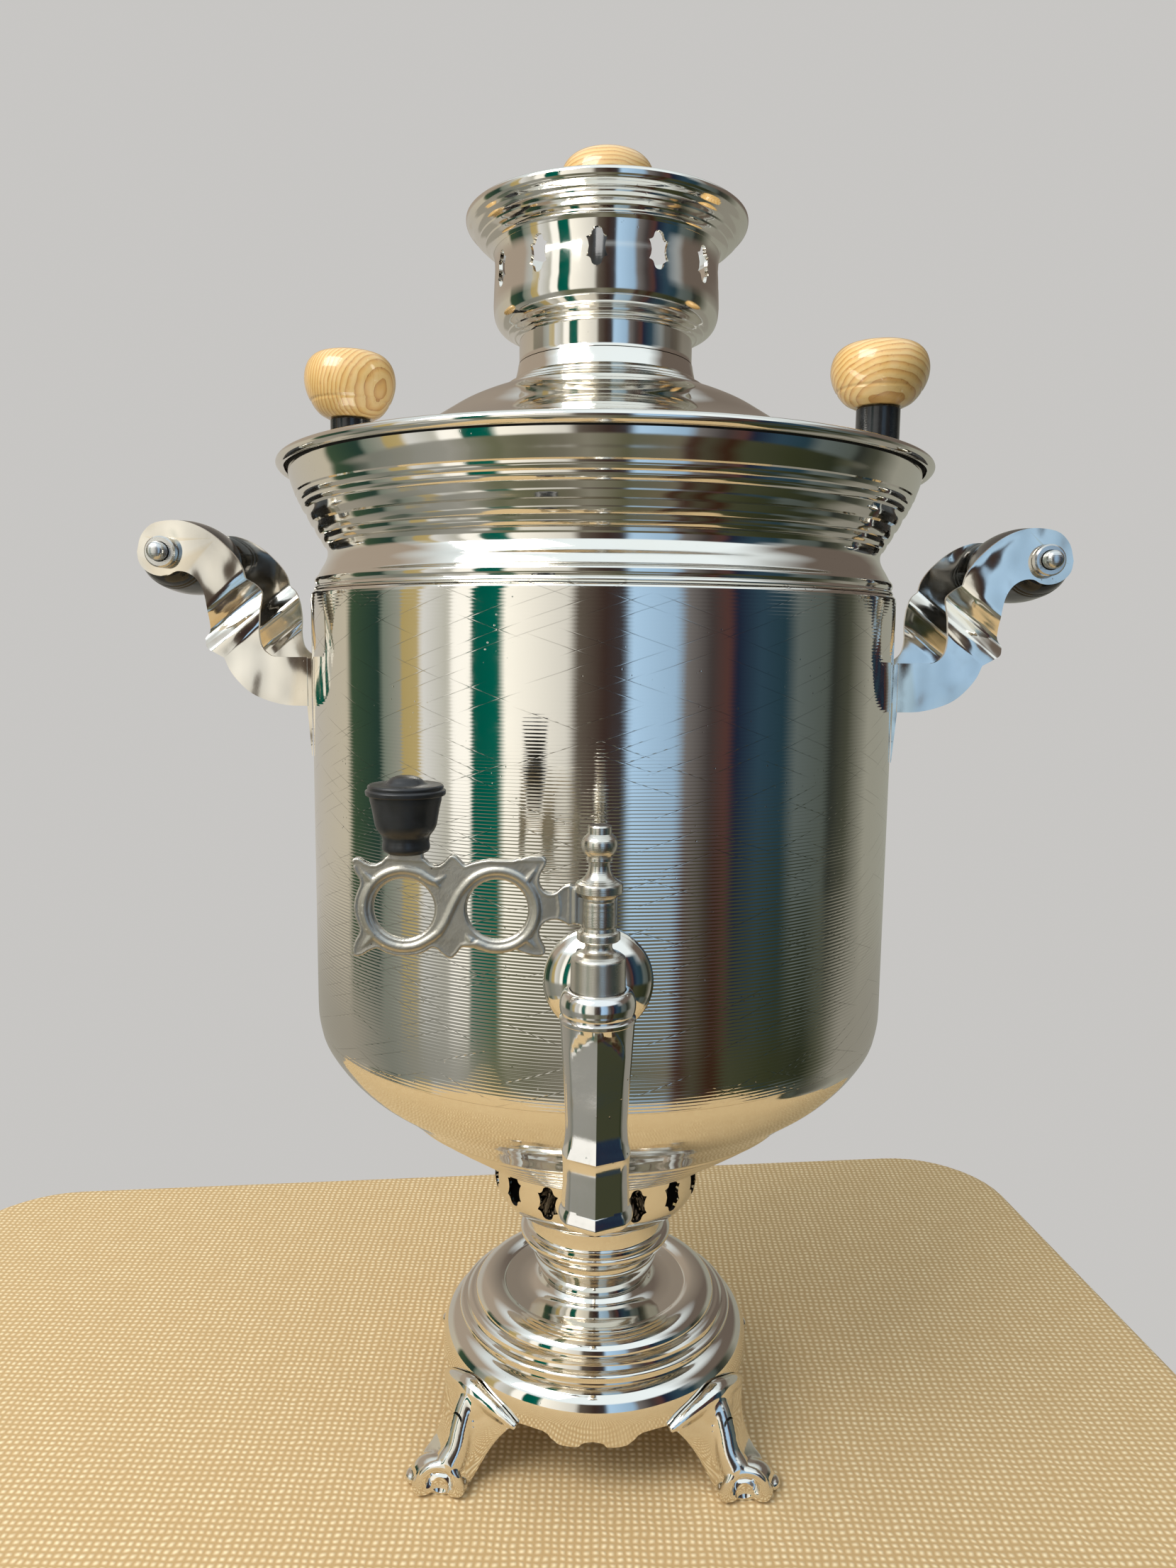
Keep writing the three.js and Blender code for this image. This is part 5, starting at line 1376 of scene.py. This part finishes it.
RINGS = (-43.6, -22.7)
HOLE = 6.8
key_strokes = [
    [(-54.8, 239.3), (-54.6, 240.0), (-53.6, 240.1), (-51.9, 238.9), (-49.6, 238.7), (-47.7, 239.9),
     (-46.8, 241.6)],
    [(-46.8, 249.4), (-39.4, 249.4)],
    [(-39.4, 241.8), (-38.9, 239.9), (-37.4, 238.6), (-35.4, 238.7), (-34.0, 239.8), (-33.1, 240.9),
     (-32.4, 240.9),
     (-31.4, 240.0), (-30.2, 238.7)],
    [(-30.0, 238.6), (-27.4, 239.5), (-24.6, 240.0), (-21.5, 239.9), (-18.9, 240.0)],
    [(-18.7, 240.0), (-16.6, 241.0), (-13.9, 241.3), (-12.3, 241.0), (-12.0, 240.0), (-12.6, 238.7),
     (-13.5, 237.0),
     (-13.7, 235.3), (-12.9, 233.5), (-11.5, 232.6), (-10.0, 232.6), (-8.6, 233.6), (-7.4, 234.6),
     (-4.6, 234.5)],
    [(-4.4, 232.15), (4.2, 232.15)], [(4.2, 225.75), (-4.4, 225.75)], [(-4.6, 225.9)],
    [(-6.6, 225.9), (-8.0, 226.9), (-9.8, 227.3), (-11.6, 226.9), (-13.1, 225.6), (-13.7, 223.6),
     (-13.1, 221.6),
     (-12.3, 220.0), (-12.2, 219.2), (-13.4, 218.9), (-15.9, 219.3), (-18.2, 220.2), (-19.0, 220.6)],
    [(-19.2, 220.6), (-21.5, 220.0), (-24.6, 219.8), (-27.4, 220.3), (-29.8, 221.3), (-30.9, 220.8),
     (-32.3, 218.7),
     (-33.2, 218.1), (-34.5, 218.8), (-36.0, 220.2), (-37.2, 220.7)],
    [(-37.4, 220.6), (-39.6, 219.2), (-43.0, 218.5), (-46.6, 218.8), (-49.7, 220.3)],
    [(-49.9, 220.3), (-51.8, 219.5), (-53.6, 218.4), (-54.7, 218.4), (-54.9, 219.5), (-54.2, 221.7),
     (-53.2, 223.6),
     (-53.3, 224.9), (-54.2, 227.0), (-54.5, 229.2), (-54.1, 231.7), (-53.1, 234.0), (-53.0, 235.5),
     (-54.1, 237.2),
     (-54.8, 239.3)],
]
outline = flowing(*key_strokes, steps=3)
outline = held_in(outline, 99, left=-54.9)
casting = plate("key_plate", outline, 2.1, PLUG + Vector((0, -1.05, 0)))
holes = []
for i, x in enumerate(RINGS):
    rim = [(0, -3), (9.0, -3), (HOLE, -0.4), (HOLE, 0.4), (9.0, 3), (0, 3)]
    holes.append(across(f"hole_{i}", rim, PLUG + Vector((x, 0, RING_Z)), steps=64))


def ring_points(x, start, end, reach=8.9, count=18):
    """Points round a ring, by angle in degrees from its right side, going up."""
    angles = [radians(start + (end - start) * i / (count - 1)) for i in range(count)]
    return [(x + reach * cos(a), RING_Z + reach * sin(a)) for a in angles]


ribbon = [(-32.9, 237.9), (-34.6, 236.4), (-36.5, 235.3), *ring_points(RINGS[0], 50, 305), (-35.6, 223.9),
          (-33.2, 228.4), (-31.2, 232.5), (-29.3, 234.9), *ring_points(RINGS[1], 125, -120), (-28.6, 221.2),
          (-30.6, 221.0), (-32.9, 219.9)]
ribbon_wide = [1.0, 1.6, 2.1] + [2.3] * 19 + [2.2, 2.2] + [2.3] * 19 + [2.1, 1.6, 1.0]
curls = [[(-36.5, 235.3), (-35.6, 234.0), (-35.5, 232.2)], [(-28.6, 221.9), (-29.6, 223.2), (-30.0, 224.6)]]
spurs = [[(-50.3, 235.0), (-52.2, 236.9), (-53.9, 239.2)], [(-50.2, 223.2), (-52.0, 221.2), (-53.9, 219.3)],
         [(-16.3, 235.4), (-14.6, 237.8), (-13.0, 240.2)], [(-16.4, 222.9), (-14.8, 221.2), (-13.2, 219.8)]]
pieces = [casting]
for face in (-1, 1):
    depth = PLUG.y + face * 0.4

    def laid(points, shift=0.0):
        return [(x, depth + face * shift, z) for x, z in points]

    pieces.append(wire("ribbon", laid(ribbon), ribbon_wide, steps=2))
    pieces += [wire("curl", laid(curl), [2.2, 1.5, 0.8]) for curl in curls]
    pieces += [wire("spur", laid(spur, 0.1), [2.0, 1.5, 0.9]) for spur in spurs]
    edge = [(p.x, p.y) for p in outline[: -1 : 2] if p.x < -5.2 and p.y < 241]
    pieces.append(wire("edge", laid(edge, 0.42), 0.75, steps=1))
    fold = [(-9.2, 226.9), (-8.8, 229), (-9.2, 233.0)]
    pieces.append(wire("fold", laid(fold, 0.45), 0.7))
    pieces.append(wire("block_edge", laid([(-5.3, 226.4), (-5.3, 234.0)], 0.3), 1.3))
key = joined("cast_key", pieces)
apply(key, "REMESH", mode="VOXEL", voxel_size=0.24 * MM, adaptivity=0)
for hole in holes:
    cut(key, hole)
apply(key, "SMOOTH", factor=0.5, iterations=2)
dress(tidy(key, 60, merge=0.001), key_metal, "tap_key")

# %% [markdown]
# The key's knob is pressed from black plastic: a short neck, a cup that widens in a curve, and a flat
# double lip with a domed button. A socket below takes the stalk of the casting.

# %% Key knob
knob_axis = Vector((*middle("tap_key_knob").xy, 0))
line = flowing(
    [(0, 242.05), (4.9, 242.05), (5.15, 242.4), (5.15, 244.8), (5.35, 245.5), (6.0, 246.4)],
    [(6.35, 246.9), (6.75, 247.8), (7.1, 249.6), (7.5, 251.8), (7.9, 253.5)],
    [(8.0, 254.5), (8.75, 254.7), (8.84, 255.1), (8.84, 255.6), (8.5, 255.9)],
    [(8.3, 256.0), (8.35, 256.6), (8.0, 256.95)],
    [(7.8, 256.9), (4.9, 257.0), (4.4, 257.3), (3.4, 258.2), (1.9, 258.8), (0, 258.95)], steps=4)
key_knob = spun("black_key_knob", line, axis=knob_axis, steps=72)
cut(key_knob, block(knob_axis + Vector((0, 0, 242)), (8, 3.8, 16.4)))
dress(tidy(key_knob, 30), key_black, "tap_key_knob")

# %% [markdown]
# ## Feet
#
# The legs grow out of the four corners of the skirt as hollow webs, drawn together to a ridge that ends
# in a paw with a horseshoe over its toes. The webs are two bridged sheets, the ridges are wires of
# changing width and the toes are balls. A voxel remesh melts all of it together like the pressed
# and polished original. The front right foot is made first, the others are mirrored from it.

# %% Foot
LEG = [(42.5, -41.5, 31), (45, -44, 26), (46.2, -46.8, 20.5), (46.6, -49.2, 15), (47.2, -51, 9.5),
       (47.4, -51.8, 4)]
EDGE_IN = [(28.2, -51.2, 24.6), (31.6, -49.4, 20), (34.8, -47.4, 14.5), (37.6, -46.4, 9.5),
           (40.2, -46.6, 5), (42, -47.6, 2)]
EDGE_OUT = [(53.2, -24.6, 24.6), (52.4, -28.6, 20), (53.0, -32.5, 15), (55.4, -36, 10), (59.2, -39, 5.5),
            (61.6, -41.6, 2.4)]


def web(name, inner, outer, wall):
    """A sheet bridged between two lines and given the wall's thickness."""
    one = pen(name, inner)
    leave()
    one = bpy.context.object
    pen("edge", outer)
    leave()
    sheet_piece = joined(name, [bpy.context.object, one])
    edit(sheet_piece)
    bpy.ops.mesh.select_all(action="SELECT")
    bpy.ops.mesh.bridge_edge_loops(number_cuts=7, interpolation="LINEAR")
    leave()
    return apply(sheet_piece, "SOLIDIFY", thickness=wall * MM, offset=0)


def ball(name, place, half, turn=0):
    bpy.ops.object.select_all(action="DESELECT")
    bpy.ops.mesh.primitive_uv_sphere_add(segments=32, ring_count=20)
    piece = bpy.context.object
    piece.name = name
    shape = Matrix.Rotation(radians(turn), 4, "Z") @ Matrix.Diagonal((*(h * MM for h in half), 1))
    piece.data.transform(Matrix.Translation((BOILER + Vector(place)) * MM) @ shape)
    return piece


def out_there(points):
    return [(x, y + BOILER.y, z) for x, y, z in points]


LEG, EDGE_IN, EDGE_OUT = (flowing(out_there(line), steps=3) for line in (LEG, EDGE_IN, EDGE_OUT))
arch_line = out_there([(25.9, -51.8, 25.2), (32.0, -48.0, 28.2), (37.6, -44.0, 30.2), (42.0, -40.6, 31.6),
                       (46.4, -35.6, 30.4),
                       (50.2, -29.4, 28.0), (53.2, -23.2, 25.2)])
horseshoe = out_there([(45.2, -53.4, 1.6), (45.4, -53.6, 5.5), (46.5, -53.3, 8.8), (49.0, -52.7, 10.6),
                       (52.2, -52.3, 11.1),
                       (55.3, -52.3, 10.2), (57.4, -52.5, 8.0), (58.3, -52.8, 5.0), (58.5, -52.5, 1.6)])
pieces = [
    web("web_in", LEG, EDGE_IN, 2.0), web("web_out", LEG, EDGE_OUT, 2.0),
    wire("arch", arch_line, [2.6, 5.4, 6.8, 7.8, 6.8, 5.4, 2.6]),
    wire("shin", out_there([(41.2, -40.1, 31), (43.6, -42.7, 26), (45.2, -45.4, 20.5), (46.4, -47.8, 15),
                            (48.8, -49.6, 10.5)]),
         [8.0, 8.6, 8.8, 9.2, 10.4]),
    wire("horseshoe", horseshoe, [4.2, 4.0, 3.8, 3.7, 3.7, 3.7, 3.8, 4.0, 4.2]),
    ball("pad", (53.2, -46.4, 3.6), (10.0, 6.4, 6.2), 20), ball("toe_in", (46.4, -50.7, 2.6),
                                                                (4.0, 4.2, 3.2)),
    ball("toe_middle", (57.6, -50.2, 2.6), (4.2, 4.2, 3.2)),
    ball("toe_out", (62.0, -45.5, 2.2), (2.9, 3.6, 2.4)),
    ball("root", (41.4, -39.6, 26), (9.0, 6.0, 9.0), 45),
]
foot = joined("paw_foot", pieces)
apply(foot, "REMESH", mode="VOXEL", voxel_size=0.5 * MM, adaptivity=0)
apply(foot, "SMOOTH", factor=0.5, iterations=9)
dimple = ball("dimple", (51.9, -55.0, 4.6), (3.9, 3.2, 4.4))
cut(foot, dimple)
for name, line in (("skirt", rod(57.3, 9, 60)), ("table", rod(120, -20, 0.05))):
    cut(foot, spun("trim_" + name, line))
screw = spun("screw_hole", rod(2.4, 50, 66), axis=Vector((0, 0, 0)), steps=24)
screw.data.transform(Matrix.Translation((BOILER + Vector((0, 0, 24))) * MM)
                     @ Matrix.Rotation(radians(-45), 4, "Z")
                     @ Matrix.Rotation(pi / 2, 4, "Y"))
cut(foot, screw)
tidy(foot, 60, merge=0.02)
for end, y in (("rear", -1), ("front", 1)):
    for side, x in (("left", -1), ("right", 1)):
        copy = mirrored(foot, f"paw_foot_{end}_{side}", x, y)
        dress(copy, polished, f"foot_{end}_{side}")
bpy.data.objects.remove(foot)

# %% [markdown]
# ## What is left
#
# Nuts, screws, gasket, grate and fire tube are hidden or nearly so. Their solids are good enough as they
# are, and each gets the finish of its own slot. The fire tube is sooty.

# %% Solids of the frame that stay in sight
done = {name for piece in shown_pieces() for name in piece.get("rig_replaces", [])}
finishes = {"nickel": polished, "brushed_nickel": plug_metal, "cast_nickel": key_metal, "steel": steel,
            "tinned_brass": tinned, "cast_iron": iron, "rubber": rubber}
for node in sorted(frame["nodes"]):
    if node not in done:
        keep(node, soot_and_shade_black if node == "fire_tube" else finishes[slot_of(node)])
